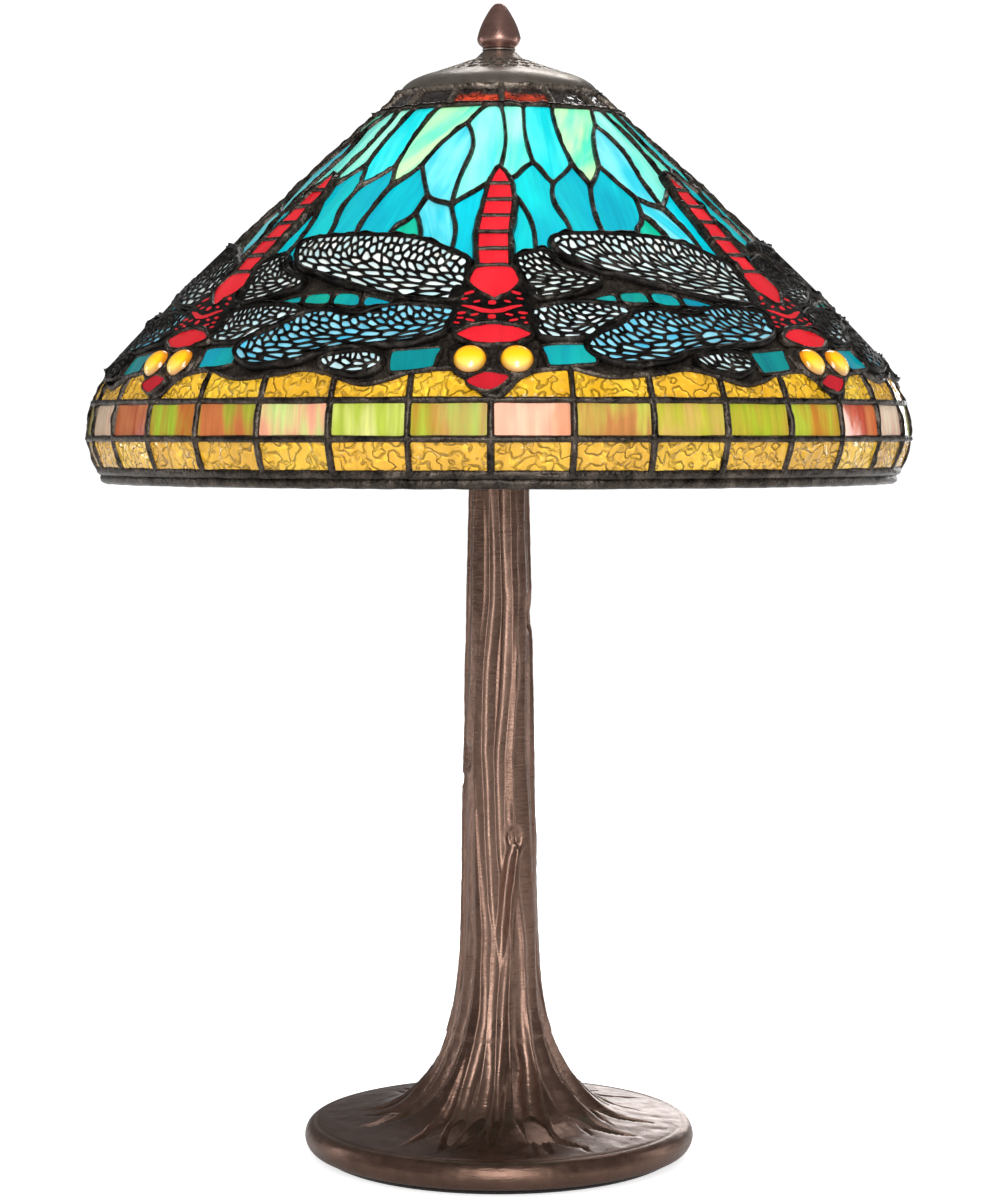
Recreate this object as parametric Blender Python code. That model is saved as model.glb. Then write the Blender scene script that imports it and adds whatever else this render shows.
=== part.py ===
"""Stained glass table lamp: a leaded cone shade with seven dragonflies on a cast tree-trunk base.

Units in this file are millimetres and degrees; MM turns lengths into metres.
The origin is the centre of the felt pad's underside, +Z is up and the front faces -Y.
Angles go round +Z from the front (-Y) towards +X.
"""

import math

import bmesh
import bpy
from mathutils import Vector

MM = 0.001
GAP = 0.3  # clearance between neighbouring pieces
FULL_TURN = 2 * math.pi

# --- Driving dimensions -------------------------------------------------------------------

LAMP_TOP = 573.3  # tip of the finial
DRAGONFLIES = 7
PANES = 35  # panes in each border row, five to a dragonfly
PANE_ANGLE = 360 / PANES
SECTOR_ANGLE = 360 / DRAGONFLIES
GLASS = 3.0  # thickness of the sheet glass
CAME = 1.6  # how far the leadwork stands over the glass

# Radius and height down the outside of the shade, from its crown to its rim.
SHADE_PROFILE = [
    (49.5, 527.3), (63.5, 514.8), (107.3, 474.2), (159.0, 424.0), (183.0, 399.0),
    (195.4, 384.0), (201.2, 371.8), (203.3, 363.0), (203.3, 354.5), (200.5, 345.0), (196.5, 338.0),
]
# Distances down the shade, measured along its outside, at the edges of each lead ring.
CROWN_RING = (1.5, 4.0)
CROWN_SEAM = (15.3, 18.8)
BORDER_TOP = (201.5, 204.7)
UPPER_SEAM = (215.0, 218.3)
LOWER_SEAM = (232.0, 235.6)
RIM = (250.2, 253.5)

# Radius and height down the vented cap.
CAP_PROFILE = [
    (5.6, 549.0), (8.3, 549.0), (12.0, 545.4), (18.5, 542.8), (25.5, 540.3), (33.0, 537.8),
    (45.0, 533.4), (48.8, 530.4), (49.6, 527.9),
]
CAP_WALL = 1.1
CAP_SLOTS = 16
CAP_SLOT_ROW = 4  # between the fourth and fifth points below the collar

# Radius and height up the outside of the casting, from its foot to the top of the trunk.
TRUNK_PROFILE = [
    (92.0, 2.6), (95.8, 6.5), (96.7, 11.0), (95.3, 15.5), (85.0, 19.0), (71.5, 24.0),
    (56.0, 33.0), (43.0, 43.5), (33.0, 55.0), (26.0, 69.0), (21.8, 92.0), (20.0, 135.0),
    (18.6, 180.0), (17.4, 235.0), (16.2, 295.0), (14.8, 372.0),
]
# Radius and height down the inside of the casting, with the web that the pipe passes through.
TRUNK_BORE = [
    (10.5, 372.0), (10.5, 44.0), (5.5, 44.0), (5.5, 38.0), (22.0, 38.0), (30.0, 30.0),
    (66.0, 18.0), (85.0, 12.0), (86.5, 2.6),
]
ROOTS = 10
TRUNK_TOP = 372.0
WEB_UNDERSIDE = 38.0

PIPE_RADIUS = 5.0
PIPE_BORE = 3.6
PIPE_CLEAR = 5.4  # holes that the pipe passes through
PIPE_BOTTOM, PIPE_TOP = 20.0, 556.0

PLUG_HEIGHT = 7.7  # the plug lies on the table behind the base, its blades pointing away
PLUG_SIDE = -20.0
PLUG_REAR = 125.0
PLUG_LENGTH = 32.0
BLADE_LENGTH = 17.0
SOCKET_HEIGHT = 408.0
CHAIN_REACH = 46.0  # from the lamp's axis to each pull chain
CHAIN_PIVOT = 379.15  # height of the joint between the chain's link and its beads

# --- Materials ----------------------------------------------------------------------------


def principled(name, colour, roughness, metallic=0.0, transmission=0.0):
    material = bpy.data.materials.new(name)
    material.use_nodes = True
    shader = material.node_tree.nodes["Principled BSDF"]
    shader.inputs["Base Color"].default_value = (*colour, 1.0)
    shader.inputs["Roughness"].default_value = roughness
    shader.inputs["Metallic"].default_value = metallic
    shader.inputs["Transmission Weight"].default_value = transmission
    return material


def make_materials():
    return {
        "bronze": principled("bronze", (0.13, 0.075, 0.055), 0.4, 0.8),
        "lead": principled("lead", (0.05, 0.04, 0.033), 0.45, 0.7),
        "filigree": principled("filigree", (0.02, 0.017, 0.015), 0.4, 0.7),
        "turquoise_glass": principled("turquoise_glass", (0.02, 0.62, 0.66), 0.15),
        "red_glass": principled("red_glass", (0.75, 0.02, 0.04), 0.2),
        "amber_glass": principled("amber_glass", (0.75, 0.45, 0.08), 0.2),
        "streaky_glass": principled("streaky_glass", (0.6, 0.62, 0.2), 0.2),
        "brown_glass": principled("brown_glass", (0.2, 0.05, 0.03), 0.2),
        "brass": principled("brass", (0.6, 0.42, 0.16), 0.3, 1.0),
        "steel": principled("steel", (0.5, 0.5, 0.5), 0.35, 1.0),
        "iron": principled("iron", (0.1, 0.1, 0.1), 0.7, 0.6),
        "porcelain": principled("porcelain", (0.85, 0.83, 0.78), 0.25),
        "bulb_glass": principled("bulb_glass", (0.95, 0.94, 0.9), 0.2, 0.0, 0.6),
        "brown_plastic": principled("brown_plastic", (0.06, 0.035, 0.025), 0.45),
        "felt": principled("felt", (0.02, 0.05, 0.03), 0.95),
    }


# --- Shared shapes ------------------------------------------------------------------------


def add_object(name, bm, material, smooth=True):
    """Turns a bmesh that is in metres into a named object with its faces pointing out."""
    bmesh.ops.recalc_face_normals(bm, faces=bm.faces[:])
    mesh = bpy.data.meshes.new(name)
    bm.to_mesh(mesh)
    bm.free()
    mesh.materials.append(material)
    if smooth:
        mesh.shade_smooth()
        mesh.set_sharp_from_angle(angle=math.radians(35))
    obj = bpy.data.objects.new(name, mesh)
    bpy.context.scene.collection.objects.link(obj)
    return obj


def lathe(name, outline, material, segments=16, height=0.0):
    """Spins an outline of (radius, height) points round Z. One that starts off the axis is a closed ring."""
    bm = bmesh.new()
    verts = [bm.verts.new((r * MM, 0, (h - height) * MM)) for r, h in outline]
    ends = list(zip(verts, verts[1:]))
    if outline[0][0] > 0:
        ends.append((verts[-1], verts[0]))
    edges = [bm.edges.new(pair) for pair in ends]
    bmesh.ops.spin(
        bm, geom=verts + edges, cent=(0, 0, 0), axis=(0, 0, 1), angle=FULL_TURN,
        steps=segments, use_merge=True,
    )
    bmesh.ops.remove_doubles(bm, verts=bm.verts[:], dist=1e-7)
    obj = add_object(name, bm, material)
    obj.location.z = height * MM
    return obj


def tube(name, inner, outer, bottom, top, material, segments=16):
    outline = [(inner, bottom), (outer, bottom), (outer, top), (inner, top)]
    return lathe(name, outline, material, segments, height=bottom)


def hex_nut(name, across_flats, bottom, top, material):
    """A six-sided nut with a round bore for the pipe."""
    bm = bmesh.new()
    corner = across_flats / 2 / math.cos(math.radians(30))
    bmesh.ops.create_cone(
        bm, cap_ends=True, segments=6, radius1=corner * MM, radius2=corner * MM,
        depth=(top - bottom) * MM,
    )
    obj = add_object(name, bm, material, smooth=False)
    obj.location.z = (bottom + top) / 2 * MM
    bore = cutter(name + "_bore", PIPE_CLEAR, 2 * (top - bottom))
    bore.location = obj.location
    cut(obj, bore)
    return obj


def cutter(name, radius, length):
    """A cylinder along Z, the shape of a hole to be cut and no piece of the lamp."""
    bm = bmesh.new()
    bmesh.ops.create_cone(
        bm, cap_ends=True, segments=16, radius1=radius * MM, radius2=radius * MM, depth=length * MM
    )
    obj = bpy.data.objects.new(name, bpy.data.meshes.new(name))
    bm.to_mesh(obj.data)
    bm.free()
    bpy.context.scene.collection.objects.link(obj)
    obj.hide_render = True
    obj.display_type = "WIRE"
    return obj


def cut(obj, tool):
    modifier = obj.modifiers.new("cut_" + tool.name, "BOOLEAN")
    modifier.operation = "DIFFERENCE"
    modifier.object = tool


def circle_point(radius, angle, height):
    """A point at this angle from the front, in metres."""
    turn = math.radians(angle)
    return Vector((radius * math.sin(turn), -radius * math.cos(turn), height)) * MM


class Surface:
    """A turned surface, known by the distance travelled along its profile."""

    def __init__(self, profile):
        self.points = [Vector(p) for p in profile]
        steps = [(b - a).length for a, b in zip(self.points, self.points[1:])]
        self.stations = [sum(steps[:i]) for i in range(len(self.points))]
        sides = [(b - a).normalized() for a, b in zip(self.points, self.points[1:])]
        sides = [Vector((-side.y, side.x)) for side in sides]
        self.normals = [sides[0]]
        self.normals += [(a + b).normalized() for a, b in zip(sides, sides[1:])]
        self.normals.append(sides[-1])

    def at(self, station, offset=0.0):
        """(radius, height) at a distance along the profile, lifted off it by offset."""
        last = len(self.points) - 2
        i = max(k for k in range(last + 1) if k == 0 or self.stations[k] <= station)
        share = (station - self.stations[i]) / (self.stations[i + 1] - self.stations[i])
        point = self.points[i].lerp(self.points[i + 1], share)
        return point + self.normals[i].lerp(self.normals[i + 1], share) * offset

    def point(self, angle, station, offset):
        radius, height = self.at(station, offset)
        return circle_point(radius, angle, height)

    def between(self, start, end):
        """start, end and the profile's own corners between them."""
        return [start, *(s for s in self.stations if start + 0.5 < s < end - 0.5), end]


def lattice(name, place, columns, rows, kept, material):
    """A closed wall all the way round, made of the cells (column, row) that kept says are there.

    place(column, row, side) is a corner in metres, with side 0 inside and 1 outside.
    """
    bm = bmesh.new()
    corners = {}

    def corner(column, row, side):
        key = (column % columns, row, side)
        if key not in corners:
            corners[key] = bm.verts.new(place(*key))
        return corners[key]

    def cell(column, row):
        return 0 <= row < rows and kept(column % columns, row)

    for column in range(columns):
        for row in range(rows):
            if not cell(column, row):
                continue
            ring = [(column, row), (column + 1, row), (column + 1, row + 1), (column, row + 1)]
            bm.faces.new([corner(*c, 1) for c in ring])
            bm.faces.new([corner(*c, 0) for c in reversed(ring)])
            beside = [(column, row - 1), (column + 1, row), (column, row + 1), (column - 1, row)]
            for k, neighbour in enumerate(beside):
                if not cell(*neighbour):
                    a, b = ring[k], ring[(k + 1) % 4]
                    bm.faces.new([corner(*b, 1), corner(*a, 1), corner(*a, 0), corner(*b, 0)])
    return add_object(name, bm, material)


def turned_wall(name, surface, angles, stations, low, high, material, kept=lambda c, r: True):
    """A lattice on a turned surface between two offsets from it."""

    def place(column, row, side):
        return surface.point(angles[column], stations[row], high if side else low)

    return lattice(name, place, len(angles), len(stations) - 1, kept, material)


def aim(obj, origin, direction):
    """Points an object's own +Z along direction, with its origin at a place in millimetres."""
    obj.location = Vector(origin) * MM
    obj.rotation_mode = "QUATERNION"
    obj.rotation_quaternion = Vector(direction).to_track_quat("Z", "Y")
    return obj


# --- Cast base ----------------------------------------------------------------------------


def root_relief(angle, radius, height):
    """How far bark ridges and roots stand out from the trunk's plain outline."""
    turn = math.radians(angle) + 0.25 * math.sin(height / 70)
    roots = math.cos(ROOTS * turn) * 0.6 + math.cos((ROOTS + 7) * turn + 1.0) * 0.4
    if radius > 84:
        return 0.0
    on_flare = max(0.0, 1 - abs(radius - 40) / 42)
    return roots * (0.7 + 2.0 * on_flare)


def make_casting(materials):
    outline = [(r, h, True) for r, h in TRUNK_PROFILE] + [(r, h, False) for r, h in TRUNK_BORE]
    segments = 36
    bm = bmesh.new()
    rings = []
    for radius, height, carved in outline:
        ring = []
        for k in range(segments):
            angle = 360 * k / segments
            relief = root_relief(angle, radius, height) if carved else 0.0
            lift = relief * 0.5 if 30 < radius <= 84 else 0.0
            ring.append(bm.verts.new(circle_point(radius + relief, angle, height + lift)))
        rings.append(ring)
    for a, b in zip(rings, rings[1:] + rings[:1]):
        for k in range(segments):
            after = (k + 1) % segments
            bm.faces.new([a[k], a[after], b[after], b[k]])
    casting = add_object("tree_base_casting", bm, materials["bronze"])
    cord_way = cutter("cord_way", 4.6, 40)
    cord_way.location = Vector((0, 92, 8.2)) * MM
    cord_way.rotation_euler.x = math.pi / 2
    cut(casting, cord_way)
    return casting


def make_base(materials):
    make_casting(materials)
    lathe("felt_pad", [(0, 0), (88, 0), (88, 2.2), (0, 2.2)], materials["felt"], 40)
    slug = [(18, 11.5), (64, 11.5), (64, 17.5), (30, 28.5), (18, 28.5)]
    lathe("base_ballast", slug, materials["iron"], 32, height=11.5)
    tube("pipe_bottom_washer", PIPE_CLEAR, 14, 35.5, WEB_UNDERSIDE - GAP, materials["steel"])
    hex_nut("pipe_bottom_nut", 17, 28.5, 35.2, materials["steel"])
    collar = [
        (PIPE_CLEAR, 372.3), (15.5, 372.3), (16.5, 373.5), (16.5, 375.0), (13.0, 377.0),
        (10.0, 378.5), (PIPE_CLEAR, 378.5),
    ]
    lathe("trunk_top_collar", collar, materials["bronze"], 16, height=372.3)
    hex_nut("trunk_lock_nut", 14, 378.8, 384.5, materials["brass"])
    tube("lamp_pipe", PIPE_BORE, PIPE_RADIUS, PIPE_BOTTOM, PIPE_TOP, materials["brass"], 12)


# --- Cord and plug ------------------------------------------------------------------------


def make_cord(materials):
    path = [
        (0, 0, 398), (0, 0, 30), (0, 2, 14), (0, 12, 8.2), (0, 60, 8.2), (0, 101, 8.2),
        (-4, 109, 6.6), (-15, 114, 6.4), (PLUG_SIDE, 120, PLUG_HEIGHT),
        (PLUG_SIDE, PLUG_REAR - GAP, PLUG_HEIGHT),
    ]
    curve = bpy.data.curves.new("power_cord", "CURVE")
    curve.dimensions = "3D"
    curve.resolution_u = 2
    curve.bevel_depth = 2.5 * MM
    curve.bevel_resolution = 2
    curve.use_fill_caps = True
    spline = curve.splines.new("BEZIER")
    spline.bezier_points.add(len(path) - 1)
    for point, place in zip(spline.bezier_points, path):
        point.co = Vector(place) * MM
        point.handle_left_type = point.handle_right_type = "AUTO"
    curve.materials.append(materials["brown_plastic"])
    obj = bpy.data.objects.new("power_cord", curve)
    bpy.context.scene.collection.objects.link(obj)
    # Straight handles keep the run up the pipe upright, and those at the bushing and plug level.
    for index in (0, 1, 4, 5, 8, 9):
        spline.bezier_points[index].handle_left_type = "VECTOR"
        spline.bezier_points[index].handle_right_type = "VECTOR"

    bush = [(3.0, 0), (4.2, 0), (4.2, 13), (6.4, 13), (6.4, 16), (3.0, 16)]
    bushing = lathe("cord_bushing", bush, materials["brown_plastic"], 16)
    aim(bushing, (0, 84.5, 8.2), (0, 1, 0))


def make_plug(materials):
    bm = bmesh.new()
    bmesh.ops.create_cube(bm, size=1.0)
    bmesh.ops.scale(bm, vec=Vector((23, PLUG_LENGTH, 15)) * MM, verts=bm.verts[:])
    rear = [v for v in bm.verts if v.co.y < 0]
    bmesh.ops.scale(bm, vec=(0.55, 1, 0.7), verts=rear)
    bmesh.ops.bevel(bm, geom=bm.edges[:], offset=2.5 * MM, segments=1, affect="EDGES")
    plug = add_object("plug_body", bm, materials["brown_plastic"])
    plug.location = Vector((PLUG_SIDE, PLUG_REAR + PLUG_LENGTH / 2, PLUG_HEIGHT)) * MM
    blade_centre = PLUG_REAR + PLUG_LENGTH + GAP + BLADE_LENGTH / 2
    for name, side in (("plug_blade_left", -1), ("plug_blade_right", 1)):
        bm = bmesh.new()
        bmesh.ops.create_cube(bm, size=1.0)
        bmesh.ops.scale(bm, vec=Vector((1.5, BLADE_LENGTH, 6.3)) * MM, verts=bm.verts[:])
        blade = add_object(name, bm, materials["brass"], smooth=False)
        blade.location = Vector((PLUG_SIDE + 6.35 * side, blade_centre, PLUG_HEIGHT)) * MM


# --- Light cluster ------------------------------------------------------------------------


def make_cluster(materials):
    body = [
        (PIPE_CLEAR, 390), (9, 390), (14, 395), (16.5, 400), (16.5, 416), (14, 421), (9, 426),
        (PIPE_CLEAR, 426),
    ]
    lathe("cluster_body", body, materials["brass"], 16, height=390)
    hex_nut("cluster_lock_nut", 14, 426.3, 432, materials["brass"])
    for side_name, side in (("left", -1), ("right", 1)):
        make_socket(side_name, side, materials)
        make_bulb(side_name, side, materials)
        make_pull_chain(side_name, side, materials)


def joint_empty(name, place, pieces):
    """An empty on a joint's axis that carries the pieces which move together."""
    empty = bpy.data.objects.new(name, None)
    bpy.context.scene.collection.objects.link(empty)
    empty.location = Vector(place) * MM
    for piece in pieces:
        piece.parent = empty
        piece.location -= empty.location
    return empty


def along_socket(obj, side):
    """Lays a turned piece on a socket's axis. Its own heights become distances from the lamp's axis."""
    return aim(obj, (0, 0, SOCKET_HEIGHT), (side, 0, 0))


def make_socket(side_name, side, materials):
    cap = [
        (0, 16.9), (5.5, 16.9), (5.5, 21), (12, 24), (17.5, 30), (17.5, 33.0), (0, 33.0),
    ]
    along_socket(lathe("socket_cap_" + side_name, cap, materials["brass"], 16), side)
    shell = [(16.3, 33.3), (17.5, 33.3), (17.5, 68), (18.4, 70), (17.2, 70), (16.3, 68)]
    along_socket(lathe("socket_shell_" + side_name, shell, materials["brass"], 16), side)
    core = [(0, 33.6), (15.9, 33.6), (15.9, 44), (0, 44)]
    along_socket(lathe("socket_core_" + side_name, core, materials["porcelain"], 16), side)
    thread = [(14.1, 44.3), (15.2, 44.3), (15.2, 67), (14.1, 67)]
    along_socket(lathe("socket_screw_shell_" + side_name, thread, materials["brass"], 16), side)
    guide = tube("chain_guide_" + side_name, 2.3, 3.6, 383.5, 390.1, materials["brass"], 12)
    guide.location.x = side * CHAIN_REACH * MM


def make_bulb(side_name, side, materials):
    """The contact button rides in and out with the bulb, and the base and glass turn with it."""
    button = [(0, 44.5), (3.5, 44.5), (4.6, 45.3), (4.6, 46.2), (0, 46.2)]
    contact = lathe("bulb_contact_" + side_name, button, materials["steel"], 12)
    base = [(0, 46.5), (6, 46.5), (12, 49), (13.4, 51), (13.4, 70), (11, 72), (0, 72)]
    screw = lathe("bulb_base_" + side_name, base, materials["brass"], 16)
    glass = [
        (9.5, 72.3), (11.5, 72.3), (14, 80), (20.5, 93), (23.8, 106), (22.5, 120), (16, 131),
        (7, 136), (0, 137),
    ]
    inside = [(0, 135.8), (15.2, 130), (22.6, 106), (12.9, 80.5), (9.5, 72.3)]
    shell = lathe_shell("bulb_glass_" + side_name, glass[1:], inside, materials["bulb_glass"])
    for piece in (contact, screw, shell):
        along_socket(piece, side)
    joint_empty("bulb_joint_" + side_name, (0, 0, SOCKET_HEIGHT), (contact, screw, shell))


def lathe_shell(name, outside, inside, material):
    """A thin turned shell with one opening: the outside runs to the axis and the inside runs back."""
    bm = bmesh.new()
    verts = [bm.verts.new((r * MM, 0, h * MM)) for r, h in outside]
    back = [bm.verts.new((r * MM, 0, h * MM)) for r, h in inside]
    edges = [bm.edges.new(pair) for pair in zip(verts, verts[1:])]
    edges += [bm.edges.new(pair) for pair in zip(back, back[1:])]
    edges.append(bm.edges.new((back[-1], verts[0])))
    bmesh.ops.spin(
        bm, geom=verts + back + edges, cent=(0, 0, 0), axis=(0, 0, 1), angle=FULL_TURN,
        steps=12, use_merge=True,
    )
    bmesh.ops.remove_doubles(bm, verts=bm.verts[:], dist=1e-7)
    return add_object(name, bm, material)


def bead_outline(top, beads, pitch, radius, neck):
    """A run of beads on a thin link, from the top down, closed on the axis at both ends."""
    outline = [(0, top)]
    for k in range(beads):
        centre = top - radius - k * pitch
        outline += [(radius, centre + radius * 0.4), (radius, centre - radius * 0.4)]
        if k < beads - 1:
            outline.append((neck, centre - pitch / 2))
    outline.append((0, top - 2 * radius - (beads - 1) * pitch))
    return outline[::-1]


def make_pull_chain(side_name, side, materials):
    link = bead_outline(389.5, 3, 3.5, 1.6, 0.6)
    link_top = lathe("pull_link_" + side_name, link, materials["brass"], 6, height=CHAIN_PIVOT)
    chain = bead_outline(378.9, 7, 3.5, 1.6, 0.6)
    chain_run = lathe("pull_chain_" + side_name, chain, materials["brass"], 6, height=CHAIN_PIVOT)
    knob = [
        (0, 342.5), (2.5, 342.5), (4.2, 344.5), (4.2, 346.5), (2.2, 350), (1.6, 354.2), (0, 354.2),
    ]
    pull = lathe("pull_knob_" + side_name, knob, materials["brass"], 12, height=CHAIN_PIVOT)
    for piece in (link_top, chain_run, pull):
        piece.location.x = side * CHAIN_REACH * MM
    place = (side * CHAIN_REACH, 0, CHAIN_PIVOT)
    joint_empty("pull_joint_" + side_name, place, (link_top, chain_run, pull))


# --- Shade --------------------------------------------------------------------------------

SHADE = Surface(SHADE_PROFILE)
BAR_HALF_ANGLE = 0.5
WING_BENDS = [(159.0, 424.0), (183.0, 399.0)]  # the corners of the profile that the wings cross
# Every wall of the shade shares these angles, so their flats lie parallel and never meet.
PANE_EDGES = [
    k * PANE_ANGLE + edge for k in range(PANES) for edge in (-BAR_HALF_ANGLE, BAR_HALF_ANGLE)
]
GLASS_LEVEL = (-GLASS - GAP, -GAP)
CAME_LEVEL = (0.0, CAME)
WING_LEVEL = (CAME + GAP, CAME + GAP + 0.8)
BODY_LEVEL = (WING_LEVEL[1] + GAP, WING_LEVEL[1] + GAP + 2.2)


def make_glass(materials):
    zones = [
        ("glass_crown_row", CROWN_RING[0], CROWN_SEAM[0] + 1.5, "brown_glass"),
        ("glass_background", CROWN_SEAM[0] + 1.8, BORDER_TOP[0] + 1.4, "turquoise_glass"),
        ("glass_border_upper", BORDER_TOP[0] + 1.7, UPPER_SEAM[0] + 1.5, "amber_glass"),
        ("glass_border_middle", UPPER_SEAM[0] + 1.8, LOWER_SEAM[0] + 1.7, "streaky_glass"),
        ("glass_border_lower", LOWER_SEAM[0] + 2.0, RIM[1], "amber_glass"),
    ]
    angles = [k * PANE_ANGLE for k in range(PANES)]
    for name, start, end, material in zones:
        turned_wall(
            name, SHADE, angles, SHADE.between(start, end), *GLASS_LEVEL, materials[material]
        )


def make_leadwork(materials):
    """Rings between the rows of panes, a bar at every border seam, and ribs up the cone."""
    rings = (CROWN_RING, CROWN_SEAM, BORDER_TOP, UPPER_SEAM, LOWER_SEAM, RIM)
    edges = [s for ring in rings for s in ring]
    bends = [s for s in SHADE.stations[2:-1] if min(abs(s - edge) for edge in edges) > 1]
    stations = sorted(edges + bends)
    middles = [(a + b) / 2 for a, b in zip(stations, stations[1:])]

    def kept(column, row):
        if any(start < middles[row] < end for start, end in rings):
            return True
        if column % 2:
            return False
        on_border = middles[row] > BORDER_TOP[0]
        return on_border or (column // 2) % 5 in (0, 2)

    turned_wall(
        "shade_leadwork", SHADE, PANE_EDGES, stations, *CAME_LEVEL, materials["lead"], kept
    )


def wing_edges(share):
    """Stations of the wings' top and bottom edges, at this share of the way to the next dragonfly."""
    swell = math.sin(math.pi * share)
    top = 134 - 19 * math.sqrt(max(swell, 0.0))
    lower_tip = math.exp(-(((share - 0.4) / 0.11) ** 2))
    near_wing = math.exp(-(((share - 0.8) / 0.16) ** 2))
    own_wing = math.exp(-(((share - 0.18) / 0.12) ** 2))
    bottom = 166 + 31 * lower_tip + 21 * near_wing + 19 * own_wing
    return top, bottom


def make_wings(materials):
    """The pierced wings overlap their neighbours' and are soldered into one band round the shade."""
    columns = 10 * DRAGONFLIES
    angles = [360 * k / columns for k in range(columns)]
    upper_bend, lower_bend = (SHADE.stations[SHADE_PROFILE.index(p)] for p in WING_BENDS)

    def place(column, row, side):
        top, bottom = wing_edges(angles[column] % SECTOR_ANGLE / SECTOR_ANGLE)
        last = max(bottom, lower_bend + 0.6)
        station = (top, upper_bend, min(bottom - 1.5, lower_bend), last)[row]
        if row == 3 and bottom < last:
            station = bottom
        return SHADE.point(angles[column], station, WING_LEVEL[side])

    lattice("wing_filigree", place, columns, 3, lambda c, r: True, materials["filigree"])


def make_dragonflies(materials):
    """Each body runs from its tail up the cone to its head at the border, as half widths by station."""
    half_widths = [
        (68, 0.8), (74, 3.4), (136, 4.2), (150, 9.3), (161, 3.5), (168, 8.0), (177, 7.0),
        (185.3, 13.5), (204.8, 13.0), (207.5, 6.5), (214, 1.5),
    ]
    for index in range(DRAGONFLIES):
        centre = index * SECTOR_ANGLE
        bm = bmesh.new()
        ribs = []
        for station, half in half_widths:
            radius = SHADE.at(station)[0]
            turn = math.degrees(half / radius)
            rib = [SHADE.point(centre + turn * t, station, BODY_LEVEL[0]) for t in (-1, 0, 1)]
            rib += [SHADE.point(centre + turn * t, station, BODY_LEVEL[1]) for t in (0.8, 0, -0.8)]
            ribs.append([bm.verts.new(p) for p in rib])
        for a, b in zip(ribs, ribs[1:]):
            for k in range(6):
                after = (k + 1) % 6
                bm.faces.new([a[k], a[after], b[after], b[k]])
        bm.faces.new(ribs[0])
        bm.faces.new(ribs[-1])
        add_object(f"dragonfly_body_{index + 1}", bm, materials["red_glass"])


def make_shade_fittings(materials):
    """The ring and spider at the crown that hang the shade on the pipe, and the wire round its rim."""
    tube("shade_top_ring", 45.6, 47.8, 519.5, 527.2, materials["brass"], 36)
    hub_profile = Surface([(5.7, 525.4), (9.5, 525.4), (41.0, 525.4), (45.0, 525.4)])
    columns = 36
    angles = [360 * k / columns for k in range(columns)]

    def kept(column, row):
        return row != 1 or column % (columns // 4) == 0

    turned_wall(
        "shade_spider", hub_profile, angles, hub_profile.stations, -3.2, 0.0,
        materials["brass"], kept,
    )
    rim = [(191.0, 334.3), (194.0, 334.3), (195.0, 335.6), (194.0, 336.9), (191.0, 336.9)]
    lathe("shade_rim_wire", rim, materials["brass"], PANES, height=336)
    hex_nut("shade_seat_nut", 14, 512.5, 518.5, materials["brass"])
    tube("seat_washer", 5.6, 12, 519.0, 521.8, materials["brass"])


def make_cap(materials):
    surface = Surface(CAP_PROFILE)
    angles = [(k + edge) * 360 / CAP_SLOTS for k in range(CAP_SLOTS) for edge in (-0.2, 0.2)]

    def kept(column, row):
        return column % 2 == 0 or row != CAP_SLOT_ROW

    turned_wall(
        "vented_cap", surface, angles, surface.stations, -CAP_WALL, 0.0, materials["bronze"], kept
    )


def make_finial(materials):
    tube("finial_washer", 5.6, 8.2, 549.3, 550.3, materials["brass"], 16)
    outline = [
        (5.4, 550.6), (8.0, 550.6), (10.0, 552.6), (11.0, 555.4), (10.7, 558.6), (9.4, 562.4),
        (7.2, 566.8), (4.8, 570.6), (2.6, 572.8), (0, LAMP_TOP),
    ]
    bore = [(0, 558.0), (5.4, 558.0)]
    lathe_closed("finial", outline, bore, materials["bronze"], 16)


def lathe_closed(name, outside, bore, material, segments):
    """A turned piece with a blind hole: the outside runs to the axis, the bore starts on it."""
    bm = bmesh.new()
    rows = [bm.verts.new((r * MM, 0, (h - bore[0][1]) * MM)) for r, h in outside + bore]
    split = len(outside)
    pairs = [(rows[k], rows[k + 1]) for k in range(len(rows) - 1) if k != split - 1]
    pairs.append((rows[-1], rows[0]))
    edges = [bm.edges.new(pair) for pair in pairs]
    bmesh.ops.spin(
        bm, geom=rows + edges, cent=(0, 0, 0), axis=(0, 0, 1), angle=FULL_TURN,
        steps=segments, use_merge=True,
    )
    bmesh.ops.remove_doubles(bm, verts=bm.verts[:], dist=1e-7)
    obj = add_object(name, bm, material)
    obj.location.z = bore[0][1] * MM
    return obj


def main():
    for obj in list(bpy.data.objects):
        bpy.data.objects.remove(obj)
    materials = make_materials()
    make_base(materials)
    make_cord(materials)
    make_plug(materials)
    make_cluster(materials)
    make_glass(materials)
    make_leadwork(materials)
    make_wings(materials)
    make_dragonflies(materials)
    make_shade_fittings(materials)
    make_cap(materials)
    make_finial(materials)


main()
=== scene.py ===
"""Looks for the stained glass table lamp: every pane, its leadwork, the wings, bark and fittings.

Lengths are millimetres and angles degrees until make() turns them into metres. A place on the shade
is (t, s): t degrees round from the front towards +X, and s millimetres down the slope from the crown.
"""

import math

import bmesh
import bpy
import numpy as np
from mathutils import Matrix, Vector
from mathutils.geometry import delaunay_2d_cdt


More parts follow.
